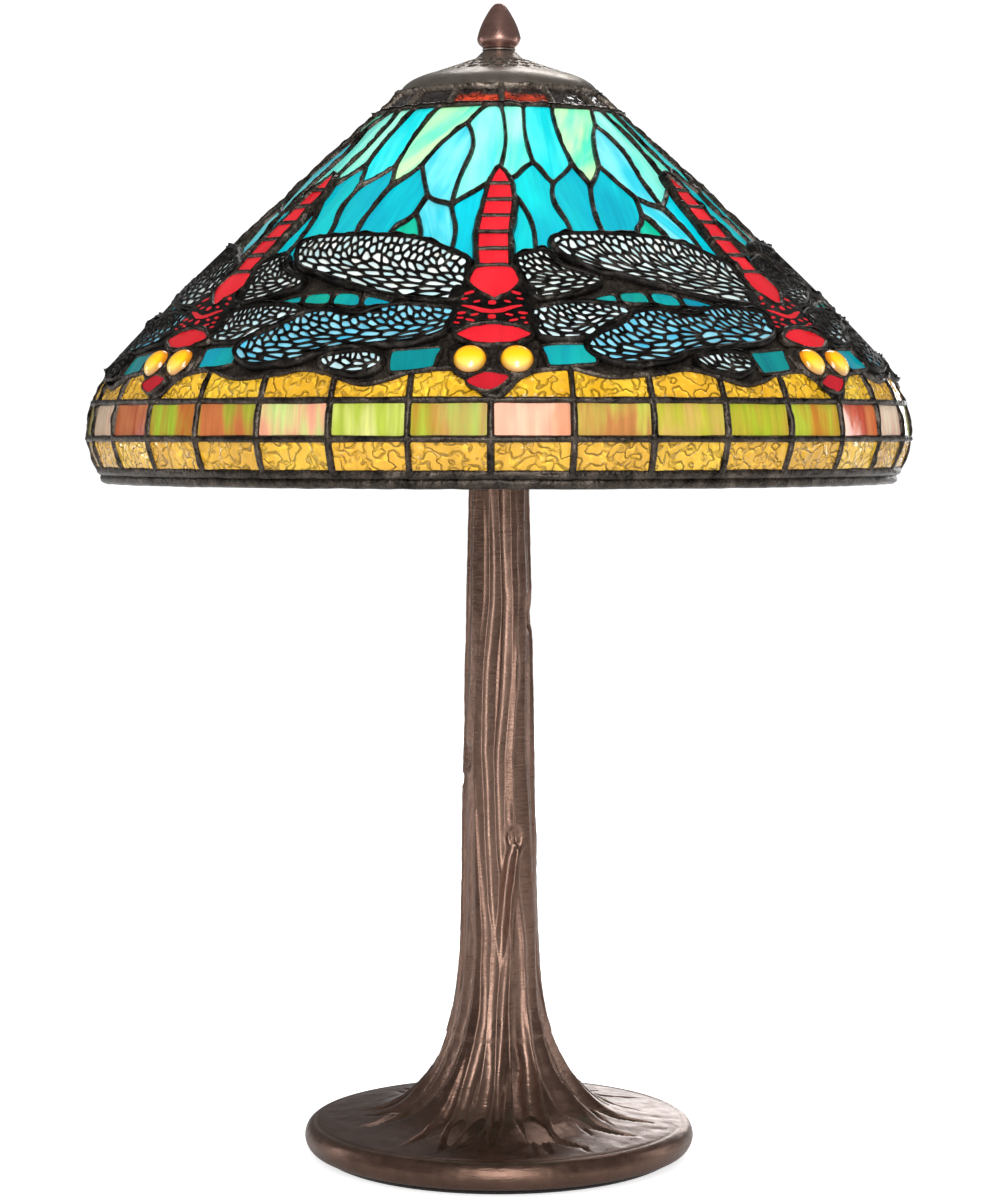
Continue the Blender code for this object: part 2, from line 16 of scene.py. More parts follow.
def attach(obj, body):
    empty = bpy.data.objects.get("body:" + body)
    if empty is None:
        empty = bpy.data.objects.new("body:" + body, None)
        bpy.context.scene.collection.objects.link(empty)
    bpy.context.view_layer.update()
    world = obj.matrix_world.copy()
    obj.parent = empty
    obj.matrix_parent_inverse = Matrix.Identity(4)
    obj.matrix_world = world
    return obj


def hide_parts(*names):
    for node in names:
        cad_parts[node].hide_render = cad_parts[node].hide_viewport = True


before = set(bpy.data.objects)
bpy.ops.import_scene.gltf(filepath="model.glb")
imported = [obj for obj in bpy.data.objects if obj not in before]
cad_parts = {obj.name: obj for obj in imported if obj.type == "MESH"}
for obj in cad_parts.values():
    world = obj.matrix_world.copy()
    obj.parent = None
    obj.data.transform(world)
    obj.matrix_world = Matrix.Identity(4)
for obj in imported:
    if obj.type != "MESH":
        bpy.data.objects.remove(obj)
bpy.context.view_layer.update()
rng = np.random.default_rng(7)

MM = 0.001
SECTORS = 7
STEP = 360 / SECTORS
PANES = 35
PANE_STEP = 360 / PANES
FIRST = -1.0  # centre line of the front dragonfly

# ------------------------------------------------------------------ meshes


def weld(points, faces):
    """Joins points that coincide, and gives the number of the point that each was kept from."""
    keys = np.round(np.asarray(points) * 2000).astype(np.int64)
    _, first, index = np.unique(keys, axis=0, return_index=True, return_inverse=True)
    index = index.reshape(-1)
    out = []
    for face in faces:
        ring = [index[v] for v in face]
        ring = [v for k, v in enumerate(ring) if v != ring[k - 1]]
        if len(set(ring)) > 2:
            out.append(ring)
    return np.asarray(points)[first], out, first


def make(name, points, faces, material, body, stands_for=(), slot=None, attributes=None,
         join=False, smooth=True, sharp=None, recalculate=False):
    points = np.asarray(points, float).reshape(-1, 3)
    if join:
        points, faces, kept = weld(points, faces)
        attributes = {k: np.asarray(v)[kept] for k, v in (attributes or {}).items()}
    mesh = bpy.data.meshes.new(name)
    mesh.from_pydata((points * MM).tolist(), [], [[int(v) for v in f] for f in faces])
    for key, values in (attributes or {}).items():
        values = np.asarray(values, np.float32)
        if values.shape[1] == 4:
            attribute = mesh.attributes.new(key, "FLOAT_COLOR", "POINT")
            attribute.data.foreach_set("color", values.reshape(-1))
        else:
            attribute = mesh.attributes.new(key, "FLOAT_VECTOR", "POINT")
            attribute.data.foreach_set("vector", values.reshape(-1))
    mesh.update()
    if recalculate:
        bm = bmesh.new()
        bm.from_mesh(mesh)
        bmesh.ops.remove_doubles(bm, verts=bm.verts[:], dist=1e-7)
        bmesh.ops.recalc_face_normals(bm, faces=bm.faces[:])
        bm.to_mesh(mesh)
        bm.free()
    if smooth:
        mesh.shade_smooth()
    if sharp:
        mesh.set_sharp_from_angle(angle=math.radians(sharp))
    mesh.materials.append(material)
    obj = bpy.data.objects.new(name, mesh)
    bpy.context.scene.collection.objects.link(obj)
    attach(obj, body)
    if stands_for:
        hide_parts(*stands_for)
    return obj


class Batch:
    """Points, faces and attributes of many small shapes that become one object."""

    def __init__(self):
        self.points, self.faces, self.attributes, self.count = [], [], {}, 0

    def add(self, points, faces, **attributes):
        points = np.asarray(points, float).reshape(-1, 3)
        self.points.append(points)
        start = self.count
        self.faces += [[v + start for v in f] for f in faces]
        self.count += len(points)
        for key, value in attributes.items():
            shape = (len(points), len(np.atleast_2d(value)[0]))
            value = np.broadcast_to(np.asarray(value, float), shape)
            self.attributes.setdefault(key, []).append(value)

    def build(self, name, material, body, **options):
        attributes = {k: np.concatenate(v) for k, v in self.attributes.items()}
        return make(name, np.concatenate(self.points), self.faces, material, body,
                    attributes=attributes, **options)


def hashed(cell, seed):
    """One steady pseudo-random number from 0 to 1 for each whole-number cell."""
    x, y, z = (cell[..., k].astype(np.int64) for k in range(3))
    h = (x * 374761393 + y * 668265263 + z * 2147483647 + seed * 974634777) & 0xFFFFFFFF
    h = ((h ^ (h >> 13)) * 1274126177) & 0xFFFFFFFF
    return ((h ^ (h >> 16)) & 0xFFFF) / 65535.0


def noise(points, size, seed=0):
    """Smooth value noise from -1 to 1, with features about size millimetres across."""
    p = np.asarray(points, float) / size
    low = np.floor(p)
    f = p - low
    f = f * f * (3 - 2 * f)
    total = 0
    for corner in np.ndindex(2, 2, 2):
        corner = np.array(corner)
        weight = np.prod(np.where(corner == 1, f, 1 - f), axis=-1)
        total = total + weight * hashed(low + corner, seed)
    return total * 2 - 1


def round_axis(r, z, angle):
    """Places at a radius and height, at angles in radians from the front towards +X."""
    return np.stack([r * np.sin(angle), -r * np.cos(angle), z + 0 * angle], axis=-1)


def grid_faces(rows, columns, wrap=True):
    """Quads of a grid whose points run along each row in turn."""
    faces = []
    last = columns if wrap else columns - 1
    for i in range(rows - 1):
        for j in range(last):
            k = (j + 1) % columns
            near, far = i * columns, (i + 1) * columns
            faces.append([near + j, near + k, far + k, far + j])
    return faces


AXIS = 0.02  # radius of the pinhole that a solid turned piece keeps round its axis


def turned(profile, segments, centre=(0, 0, 0), axis="Z", closed=False):
    """Points and faces of a profile of (radius, height) turned round an axis."""
    profile = np.asarray(profile, float)
    angle = np.linspace(0, 2 * math.pi, segments, endpoint=False)
    points = round_axis(profile[:, :1], profile[:, 1:], angle).reshape(-1, 3)
    faces = grid_faces(len(profile), segments)
    if closed:
        last = (len(profile) - 1) * segments
        for j in range(segments):
            k = (j + 1) % segments
            faces.append([last + j, last + k, k, j])
    if axis == "X":
        points = points[:, [2, 1, 0]]
        faces = [f[::-1] for f in faces]
    if axis == "-X":
        points = points[:, [2, 1, 0]] * [-1, 1, 1]
    return points + np.asarray(centre, float), faces


def smooth_line(points, spacing, closed=False):
    """Points along a Catmull-Rom curve through these points, about spacing apart."""
    p = np.asarray(points, float)
    if closed:
        p = np.vstack([p[-1], p, p[0], p[1]])
    else:
        p = np.vstack([2 * p[0] - p[1], p, 2 * p[-1] - p[-2]])
    out = []
    for a, b, c, d in zip(p, p[1:], p[2:], p[3:]):
        n = max(1, int(round(np.linalg.norm(c - b) / spacing)))
        for k in range(n):
            t = k / n
            out.append(0.5 * (2 * b + (c - a) * t + (2 * a - 5 * b + 4 * c - d) * t * t
                              + (3 * b - a - 3 * c + d) * t ** 3))
    if not closed:
        out.append(p[-2])
    return np.array(out)


# ------------------------------------------------------------------ the shade's surface

class Turned:
    """A turned surface: places on it by angle, distance down its profile and lift off it."""

    def __init__(self, curve):
        self.curve = np.asarray(curve, float)
        step = np.linalg.norm(np.diff(self.curve, axis=0), axis=1)
        self.s = np.concatenate([[0], np.cumsum(step)])
        tangent = np.gradient(self.curve, self.s, axis=0)
        tangent /= np.linalg.norm(tangent, axis=1)[:, None]
        self.normal = np.stack([-tangent[:, 1], tangent[:, 0]], axis=1)

    def radius(self, s):
        return np.interp(s, self.s, self.curve[:, 0])

    def at(self, angle, s, lift=0.0):
        r = self.radius(s) + lift * np.interp(s, self.s, self.normal[:, 0])
        z = np.interp(s, self.s, self.curve[:, 1]) + lift * np.interp(s, self.s, self.normal[:, 1])
        return round_axis(r, z, angle)


cone_shade = Turned(smooth_line([
    (49.5, 527.3), (63.5, 514.8), (81.1, 498.7), (107.3, 474.2), (133.6, 448.9), (159.0, 424.0),
    (183.0, 399.0), (195.4, 384.0), (201.2, 371.8), (203.3, 363.0), (203.3, 354.5),
    (200.5, 345.0), (196.5, 338.0),
], 2.0))
radius = cone_shade.radius


def on_shade(t, s, lift=0.0):
    """Places on the shade at degrees round it, lifted off it along its own normal."""
    return cone_shade.at(np.radians(t), s, lift)


def flat(ts, centre):
    """(t, s) laid flat in millimetres about a centre angle."""
    return np.stack([np.radians(ts[:, 0] - centre) * radius(ts[:, 1]), ts[:, 1]], axis=1)


def unflat(xy, centre):
    return np.stack([centre + np.degrees(xy[:, 0] / radius(xy[:, 1])), xy[:, 1]], axis=1)


def lifted(xy, centre, lift=0.0):
    """Places on the shade for points that lie flat about a centre angle."""
    ts = unflat(xy, centre)
    return on_shade(ts[:, 0], ts[:, 1], lift)


def area(xy):
    x, y = xy[:, 0], xy[:, 1]
    return 0.5 * np.sum(x * np.roll(y, -1) - np.roll(x, -1) * y)


def laid(ring, centre=None):
    """A ring of (t, s) and the same ring laid flat, both anticlockwise, with their centre angle."""
    centre = ring[:, 0].mean() if centre is None else centre
    xy = flat(ring, centre)
    if area(xy) < 0:
        ring, xy = ring[::-1], xy[::-1]
    return ring, xy, centre


def inside(xy, polygon):
    """Which points lie in a polygon."""
    a, b = polygon, np.roll(polygon, -1, axis=0)
    x, y = xy[:, None, 0], xy[:, None, 1]
    crosses = (a[:, 1] > y) != (b[:, 1] > y)
    at = a[:, 0] + (y - a[:, 1]) * (b[:, 0] - a[:, 0]) / (b[:, 1] - a[:, 1] + 1e-12)
    return np.sum(crosses & (x < at), axis=1) % 2 == 1


def nearest(xy, polygon):
    """Distance from each point to the polygon's boundary, and the nearest place on it."""
    a = polygon
    d = np.roll(polygon, -1, axis=0) - a
    length = np.maximum(np.sum(d * d, axis=1), 1e-12)
    share = np.clip(np.sum((xy[:, None] - a) * d, axis=2) / length, 0, 1)
    place = a + share[..., None] * d
    gap = np.linalg.norm(xy[:, None] - place, axis=2)
    best = np.argmin(gap, axis=1)
    row = np.arange(len(xy))
    return gap[row, best], place[row, best], best


SOFTEN = 0.25  # how far each round of an inset draws its corners in


def inset(xy, width, rounds=9):
    """The polygon's points moved inwards to stand width from its boundary, with softened corners.

    The polygon runs anticlockwise, and each point keeps its partner on the boundary.
    """
    d = np.roll(xy, -1, axis=0) - xy
    d /= np.maximum(np.linalg.norm(d, axis=1), 1e-9)[:, None]
    inward = np.stack([-d[:, 1], d[:, 0]], axis=1)
    width = np.broadcast_to(np.asarray(width, float), (len(xy),))
    vertex = inward + np.roll(inward, 1, axis=0)
    vertex /= np.maximum(np.linalg.norm(vertex, axis=1), 0.35)[:, None]
    p = xy + vertex * width[:, None]
    for k in range(rounds):
        gap, place, edge = nearest(p, xy)
        away = p - place
        side = np.sign(np.sum(away * inward[edge], axis=1))
        side[side == 0] = 1
        signed = gap * side
        push = np.where(gap[:, None] > 1e-6, away / np.maximum(gap, 1e-6)[:, None] * side[:, None],
                        inward[edge])
        p = p + push * np.maximum(width - signed, 0)[:, None]
        if k < rounds - 2:
            p = (1 - SOFTEN) * p + SOFTEN * 0.5 * (np.roll(p, 1, axis=0) + np.roll(p, -1, axis=0))
    return p


def outset(xy, width):
    """The polygon's points moved outwards by about width, smoothed."""
    d = np.roll(xy, -1, axis=0) - xy
    d /= np.maximum(np.linalg.norm(d, axis=1), 1e-9)[:, None]
    outward = np.stack([d[:, 1], -d[:, 0]], axis=1)
    vertex = outward + np.roll(outward, 1, axis=0)
    vertex /= np.maximum(np.linalg.norm(vertex, axis=1), 0.5)[:, None]
    p = xy + vertex * width
    for _ in range(4):
        p = 0.6 * p + 0.2 * (np.roll(p, 1, axis=0) + np.roll(p, -1, axis=0))
    return p


def ring_faces(loops, count):
    """Quads between closed loops of count points each."""
    faces = []
    for k in range(loops - 1):
        a, b = k * count, (k + 1) * count
        for j in range(count):
            n = (j + 1) % count
            faces.append([a + j, b + j, b + n, a + n])
    return faces


BEAD = [(0.0, 1.0), (0.3, 0.96), (0.6, 0.8), (0.85, 0.48), (1.0, 0.0)]


def solder(points, rough):
    """Uneven hand-run height for solder, as a share of the bead's own height."""
    return 1 + rough * noise(points, 5.0, 1) + 0.5 * rough * noise(points, 2.0, 10)


def bead_ring(batch, top, side, centre, crest, foot, rough=0.3, outwards=False):
    """Half a solder bead, from the crest on one line to the foot on a line inside or outside it."""
    points = []
    for share, height in BEAD:
        xy = top + (side - top) * share
        level = foot + (crest - foot) * height * solder(lifted(xy, centre), rough)
        points.append(lifted(xy, centre, level))
    faces = ring_faces(len(BEAD), len(top))
    batch.add(np.concatenate(points), [f[::-1] for f in faces] if outwards else faces)


TRIANGLE = 0.87  # height of an even triangle over its side


def fill(outline, spacing):
    """Triangles that fill an outline, with points inside it about spacing apart."""
    low, high = outline.min(axis=0), outline.max(axis=0)
    pitch = spacing * TRIANGLE
    columns = int((high[0] - low[0]) / spacing) + 2
    rows = int((high[1] - low[1]) / pitch) + 2
    gx, gy = np.meshgrid(np.arange(columns), np.arange(rows))
    grid = np.stack([(low[0] + (gx + 0.5 * (gy % 2)) * spacing).ravel(),
                     (low[1] + gy * spacing * TRIANGLE).ravel()], axis=1)
    grid = grid[inside(grid, outline)]
    if len(grid):
        grid = grid[nearest(grid, outline)[0] > spacing * 0.45]
    every = np.vstack([outline, grid])
    n = len(outline)
    verts, _, faces, _, _, _ = delaunay_2d_cdt(
        [Vector(p) for p in every], [], [list(range(n))], 1, 1e-5
    )
    return np.array([(v.x, v.y) for v in verts]), faces


FLATTEST = 0.45  # how far a flat pane may leave the shade's curve


def glass_sheet(batch, outline, centre, level, spacing, colours, ripple=0.1, hammer=0.0,
                grain=0.0, dome=0.0, thickness=3.0, seed=0, facet=0.5):
    """A pane that fills an outline, with its back.

    It is flatter than the shade by facet's share, and it can be domed or hammered.
    """
    if area(outline) < 0:
        outline = outline[::-1]
    xy, faces = fill(outline, spacing)
    base = lifted(xy, centre)
    middle = base.mean(axis=0)
    _, _, axes = np.linalg.svd(base - middle, full_matrices=False)
    outward = [middle[0], middle[1], 60]
    off = (base - middle) @ (axes[2] * np.sign(np.dot(axes[2], outward)))
    lift = level - np.clip(off * facet, -FLATTEST, FLATTEST) + ripple * noise(base, 9.0, seed)
    gap = nearest(xy, outline)[0]
    if dome:
        lift = lift + dome * (1 - np.exp(-gap / 2.2))
    if hammer:
        warp = base + 1.6 * np.stack([noise(base, 4.0, k + 31) for k in range(3)], axis=1)
        crinkle = 1.1 * np.exp(-(noise(warp, 4.6, 5) / 0.25) ** 2) - 0.5 + 0.3 * noise(warp, 2.1, 6)
        lift = lift + hammer * crinkle * np.clip(gap / 1.2, 0, 1)
    front, back = lifted(xy, centre, lift), lifted(xy, centre, level - thickness)
    turn = math.radians(grain)
    c, s = math.cos(turn), math.sin(turn)
    local = xy - outline.mean(axis=0)
    flow = np.stack([local @ [c, s], local @ [-s, c], np.full(len(local), seed * 7.31)], axis=1)
    n = len(xy)
    both = [list(f)[::-1] for f in faces] + [[v + n for v in f] for f in faces]
    paint = {k: np.asarray(v)[None] for k, v in colours.items()}
    batch.add(np.vstack([front, back]), both, flow=np.vstack([flow, flow]), **paint)


def srgb(value):
    """A hex colour as linear light, with full alpha."""
    rgb = [int(value[k:k + 2], 16) / 255 for k in (1, 3, 5)]
    return [c / 12.92 if c <= 0.04045 else ((c + 0.055) / 1.055) ** 2.4 for c in rgb] + [1.0]


# ------------------------------------------------------------------ materials


class Graph:
    """A material's node tree, built from short calls."""

    def __init__(self, name):
        self.material = bpy.data.materials.new(name)
        self.material.use_nodes = True
        self.tree = self.material.node_tree
        self.tree.nodes.clear()

    def add(self, kind, inputs=None, **settings):
        node = self.tree.nodes.new("ShaderNode" + kind)
        for key, value in settings.items():
            setattr(node, key, value)
        for key, value in (inputs or {}).items():
            self.put(node.inputs[key], value)
        return node

    def put(self, socket, value):
        if isinstance(value, bpy.types.NodeSocket):
            self.tree.links.new(value, socket)
        else:
            socket.default_value = value

    def place(self, scale=(1, 1, 1)):
        return self.stretch(self.add("TexCoord").outputs["Object"], scale)

    def stretch(self, vector, scale):
        return self.add("Mapping", {"Vector": vector, "Scale": scale}).outputs[0]

    def grey(self, value):
        return self.add("CombineColor", {0: value, 1: value, 2: value}).outputs[0]

    def noise(self, vector, scale, detail=3.0, rough=0.5, distortion=0.0):
        made = self.add("TexNoise", {"Vector": vector, "Scale": scale, "Detail": detail,
                                     "Roughness": rough, "Distortion": distortion})
        return made.outputs["Fac"]

    def cells(self, vector, scale):
        return self.add("TexVoronoi", {"Vector": vector, "Scale": scale}).outputs["Distance"]

    def ramp(self, factor, stops, mode="LINEAR"):
        made = self.add("ValToRGB", {"Fac": factor})
        made.color_ramp.interpolation = mode
        elements = made.color_ramp.elements
        while len(elements) < len(stops):
            elements.new(0.5)
        for element, (at, colour) in zip(elements, stops):
            element.position = at
            element.color = colour if hasattr(colour, "__len__") else (colour, colour, colour, 1)
        return made.outputs["Color"]

    def scale(self, value, low, high, to_low, to_high):
        made = self.add("MapRange", {"Value": value, "From Min": low, "From Max": high,
                                     "To Min": to_low, "To Max": to_high})
        return made.outputs["Result"]

    def mix(self, factor, a, b, blend="MIX"):
        made = self.add("Mix", {"Factor": factor}, data_type="RGBA", blend_type=blend)
        for index, value in ((6, a), (7, b)):
            self.put(made.inputs[index], value)
        return made.outputs[2]

    def maths(self, operation, a, b=0.0, clamp=False):
        made = self.add("Math", operation=operation, use_clamp=clamp)
        self.put(made.inputs[0], a)
        self.put(made.inputs[1], b)
        return made.outputs[0]

    def attribute(self, name):
        return self.add("Attribute", attribute_name=name)

    def bump(self, height, strength, distance, normal=None):
        inputs = {"Height": height, "Strength": strength, "Distance": distance}
        if normal is not None:
            inputs["Normal"] = normal
        return self.add("Bump", inputs).outputs["Normal"]

    def finish(self, **inputs):
        """Ends the tree in a Principled shader. Underscores in input names stand for spaces."""
        shader = self.add("BsdfPrincipled", {k.replace("_", " "): v for k, v in inputs.items()})
        out = self.add("OutputMaterial")
        self.tree.links.new(shader.outputs[0], out.inputs[0])
        return self.material


PAINTED_LIGHT_SHIFT = (0.0004, 0.0, 0.0009)  # offset from the painted shade on one side of a wrinkle to the painted highlight on its other side, in metres


def pane_glass(name, streak, rough, fine, hammer=0.0, coat=0.15):
    """Sheet glass with two tones run together in streaks along the pane's grain.

    Hammered glass also has raised wrinkles, each with a painted highlight on one side and painted shade
    on the other.
    """
    g = Graph(name)
    flow = g.attribute("flow").outputs["Vector"]
    streaks = g.noise(g.stretch(flow, (0.12, 0.014, 1.0)), 1.0, 3.0, 0.55, 0.5)
    mist = g.noise(g.stretch(flow, (0.05, 0.03, 1.0)), 1.0, 2.0)
    factor = g.maths("ADD", g.scale(streaks, 0.32, 0.68, 0, 1), g.scale(mist, 0.3, 0.7, -0.4, 0.4))
    factor = g.scale(factor, 0.5 - streak, 0.5 + streak, 0, 1)
    colour = g.mix(factor, g.attribute("tone_a").outputs["Color"],
                   g.attribute("tone_b").outputs["Color"])
    threads = g.noise(g.stretch(flow, (0.45, 0.03, 1.0)), 1.0, 3.0)
    light = g.scale(threads, 0.3, 0.75, 1 - fine * 0.4, 1 + fine * 0.5)
    colour = g.mix(1.0, colour, g.grey(light), "MULTIPLY")
    place = g.place()
    seeds = g.cells(place, 900.0)
    surface = g.bump(g.noise(place, 140.0, 2.0), 0.12, 0.0006)
    surface = g.bump(g.scale(seeds, 0.0, 0.12, 0, 1), 0.08, 0.0002, surface)
    if hammer:
        warp = g.add("TexNoise", {"Vector": place, "Scale": 190.0, "Detail": 1.0}).outputs["Color"]
        moved = g.add("VectorMath", {0: warp, 1: (0.006, 0.006, 0.006), 2: place},
                      operation="MULTIPLY_ADD").outputs[0]
        beside = g.add("VectorMath", {0: moved, 1: PAINTED_LIGHT_SHIFT}, operation="ADD").outputs[0]
        ridges = []
        for spot in (moved, beside):
            fold = g.noise(spot, 185.0, 0.6, 0.4)
            fold = g.maths("ABSOLUTE", g.maths("SUBTRACT", fold, 0.5))
            ridges.append(g.ramp(g.scale(fold, 0.0, 0.1, 0.0, 1.0),
                                 [(0.0, 1.0), (0.25, 0.85), (0.6, 0.2), (1.0, 0.0)], "B_SPLINE"))
        # Painted highlight and shade: each wrinkle's colour is made lighter on one side and darker on
        # the other.
        shade = g.scale(g.maths("SUBTRACT", ridges[0], ridges[1]), -0.75, 0.75, 1.42, 0.58)
        colour = g.mix(1.0, colour, g.grey(shade), "MULTIPLY")
        surface = g.bump(ridges[0], 1.0, 0.0014 * hammer, surface)
    return g.finish(Base_Color=colour, Normal=surface, IOR=1.42, Coat_Weight=coat,
                    Coat_Roughness=0.04,
                    Roughness=g.scale(streaks, 0.2, 0.8, rough * 0.7, rough * 1.6))


def metal_solder(name, dark="#16120F", light="#4E453D", shine=0.38, bump=0.5):
    """Dark patina on solder, rubbed bright in places."""
    g = Graph(name)
    place = g.place()
    blotch = g.noise(place, 110.0, 5.0, 0.6)
    fine = g.noise(place, 700.0, 4.0, 0.6)
    worn = g.ramp(g.maths("ADD", g.maths("MULTIPLY", blotch, 0.65), g.maths("MULTIPLY", fine, 0.35)),
                  [(0.38, srgb(dark)), (0.56, srgb(light)), (0.74, srgb("#7D736A"))])
    surface = g.bump(g.noise(place, 260.0, 4.0, 0.6), bump, 0.0012)
    surface = g.bump(fine, 0.25, 0.0004, surface)
    return g.finish(Base_Color=worn, Metallic=0.75, Normal=surface,
                    Roughness=g.scale(fine, 0.3, 0.7, shine * 0.75, shine * 1.4))


LEAD = metal_solder("patina_solder", shine=0.3, bump=0.75)
PALE_LEAD = metal_solder("rubbed_solder", "#332C26", "#857A6E", 0.28, 0.75)
FILIGREE = metal_solder("patina_filigree", "#0B0908", "#2A2521", 0.42, 0.25)
SHEET_GLASS = pane_glass("opal_sheet_glass", 0.55, 0.1, 0.25)
WING_GLASS = pane_glass("wing_glass", 0.6, 0.12, 0.1)
RED_GLASS = pane_glass("ruby_glass", 0.9, 0.16, 0.12)
STREAKY_GLASS = pane_glass("streaky_glass", 0.38, 0.1, 0.35)
AMBER_GLASS = pane_glass("hammered_amber_glass", 0.7, 0.07, 0.1, hammer=1.0, coat=0.6)
RIPPLE_GLASS = pane_glass("ripple_glass", 0.6, 0.08, 0.1, hammer=1.6, coat=0.8)

# ------------------------------------------------------------------ panes and their leadwork

GLASS_TOP = -0.6
GLASS_THICK = 3.0
CREST, FOOT = 1.2, -0.95  # heights of the solder's crest and foot over the shade's own surface
INSIDE_BEAD = [(0.0, 1.0), (0.7, 0.75), (1.0, 0.0)]  # the flatter bead on the inside of the shade
TUCK = 0.84  # how far under its bead a pane reaches, as a share of the bead's half width

lead = Batch()
lead_border = Batch()
lead_crown = Batch()
lead_inside = Batch()


def lead_half_width(s):
    return np.interp(s, [17, 60, 130, 205, 254], [1.0, 1.25, 1.4, 1.6, 1.7])


def line(points, spacing=1.7, closed=False):
    """A smooth run of (t, s) through these points."""
    p = np.asarray(points, float)
    scale = np.array([math.radians(1) * radius(p[:, 1].mean()), 1])
    return smooth_line(p * scale, spacing, closed) / scale


def closed_line(points, spacing):
    return line(points, spacing, closed=True)


def straight(a, b, spacing=1.7):
    """A run from a to b along the shade's own surface."""
    a, b = np.asarray(a, float), np.asarray(b, float)
    length = np.hypot(math.radians(b[0] - a[0]) * radius((a[1] + b[1]) / 2), b[1] - a[1])
    share = np.linspace(0, 1, max(2, int(length / spacing) + 2))[:, None]
    return a + (b - a) * share


def chain(runs):
    """Runs that meet end to end, as one closed ring of points."""
    return np.concatenate([run[:-1] for run in runs])


def corners_ring(corners, spacing=1.7):
    """The closed ring with straight sides between these corners."""
    return chain([straight(a, b, spacing) for a, b in zip(corners, corners[1:] + corners[:1])])


def pane(ring, glass, colours, leads=None, half_width=None, crest=CREST, level=GLASS_TOP, seed=0,
         spacing=3.6, thickness=GLASS_THICK, **options):
    """One pane of glass with half of the solder line on each of its sides."""
    ring, xy, centre = laid(ring)
    if half_width is None:
        uneven = 1 + 0.16 * noise(on_shade(ring[:, 0], ring[:, 1]), 14.0, 3)
        half_width = lead_half_width(ring[:, 1]) * uneven
    inner = inset(xy, half_width)
    bead_ring(leads or lead, xy, inner, centre, crest, FOOT + level - GLASS_TOP)
    if thickness == GLASS_THICK:
        points = [lifted(xy + (inner - xy) * share, centre, level - thickness + 0.2 - 1.1 * height)
                  for share, height in INSIDE_BEAD]
        faces = [f[::-1] for f in ring_faces(len(INSIDE_BEAD), len(xy))]
        lead_inside.add(np.concatenate(points), faces)
    glass_sheet(glass, xy + (inner - xy) * TUCK, centre, level, spacing, colours, seed=seed,
                thickness=thickness, **options)


def tones(a, b, jitter=0.0):
    """Two linear colours, each a little brighter or darker than asked."""
    out = {}
    for key, value in (("tone_a", a), ("tone_b", b)):
        colour = np.array(srgb(value))
        colour[:3] *= 1 + jitter * rng.uniform(-1, 1)
        out[key] = np.clip(colour, 0, 1)
    return out


SPOTS = {
    "T1": (0.8, 17), "T2": (10.8, 17), "T3": (24, 17), "T4": (46.0, 17), "Jt": (0.4, 66),
    "JaC": (-0.2, 76), "J1": (9.7, 61.5), "J2": (13.8, 77), "J3": (21, 62.5), "J4": (23.5, 78.5),
    "B": (39.4, 31.2), "J5": (29.3, 63.5), "J6": (34.5, 86.5), "J7": (40.7, 93), "J9": (33, 99),
    "W9": (6.9, 136), "W10": (14.8, 128), "W11": (21.6, 128), "W28": (28, 128),
    "W36": (36.5, 128), "W42": (42.5, 132), "Cb": (-0.3, 143),
}
# Each line between panes, as the spots that it joins and the points that it bends through.
CURVES = {
    "L1": ("T1", [(1.8, 25), (2.2, 35), (2.2, 45), (1.5, 55)], "Jt"),
    "C1": ("Jt", [], "JaC"),
    "C2": ("JaC", [(-0.3, 100), (-0.4, 120)], "Cb"),
    "L2": ("T2", [(10, 25), (9.2, 35), (9, 45), (9.3, 55)], "J1"),
    "A1": ("J1", [(7, 66), (5, 71), (3.5, 74)], "JaC"),
    "A2": ("J1", [(11.5, 68), (12.7, 74)], "J2"),
    "L3": ("T3", [(22.3, 25), (21.3, 35), (20.8, 45), (20.9, 55)], "J3"),
    "A3": ("J3", [(19, 67), (16.5, 72)], "J2"),
    "A4": ("J3", [(21.8, 68), (23, 75)], "J4"),
    "L4a": ("T4", [(42.6, 23)], "B"),
    "L4b": ("B", [(35.6, 38), (32.8, 46), (30.8, 54)], "J5"),
    "A5": ("J5", [(27, 70), (25, 75)], "J4"),
    "L5": ("B", [(41.6, 37), (43, 45), (43.2, 52), (42.3, 62), (41.3, 72), (40.9, 82)], "J7"),
    "L6a": ("J5", [(30.5, 68), (32, 75), (33.5, 82)], "J6"),
    "L6b": ("J6", [(37, 90.5)], "J7"),
    "L7": ("J7", [(43, 88.5), (45.5, 84), (47.5, 80), (49.5, 77)], "JaC'"),
    "L9": ("JaC", [(3, 84), (5.5, 95), (6.5, 103), (7, 112), (6.9, 122)], "W9"),
    "L10": ("J2", [(12.8, 84), (12.7, 92), (13.5, 100), (14.4, 108)], "W10"),
    "L11": ("J4", [(22.5, 85), (21.6, 95), (21.2, 105)], "W11"),
    "L12a": ("J6", [(33.8, 92)], "J9"),
    "L12b": ("J9", [(31.5, 105), (29.5, 110)], "W28"),
    "L12c": ("J9", [(34.2, 103), (35, 108), (35.7, 113)], "W36"),
    "L13": ("J7", [(41.5, 100), (42.5, 108), (42.8, 118)], "W42"),
}
for start, end in (("T1", "T2"), ("T2", "T3"), ("T3", "T4"), ("T4", "T1'"), ("Cb", "W9"),
                   ("W9", "W10"), ("W10", "W11"), ("W11", "W28"), ("W28", "W36"), ("W36", "W42"),
                   ("W42", "Cb'")):
    CURVES[start + end] = (start, [], end)
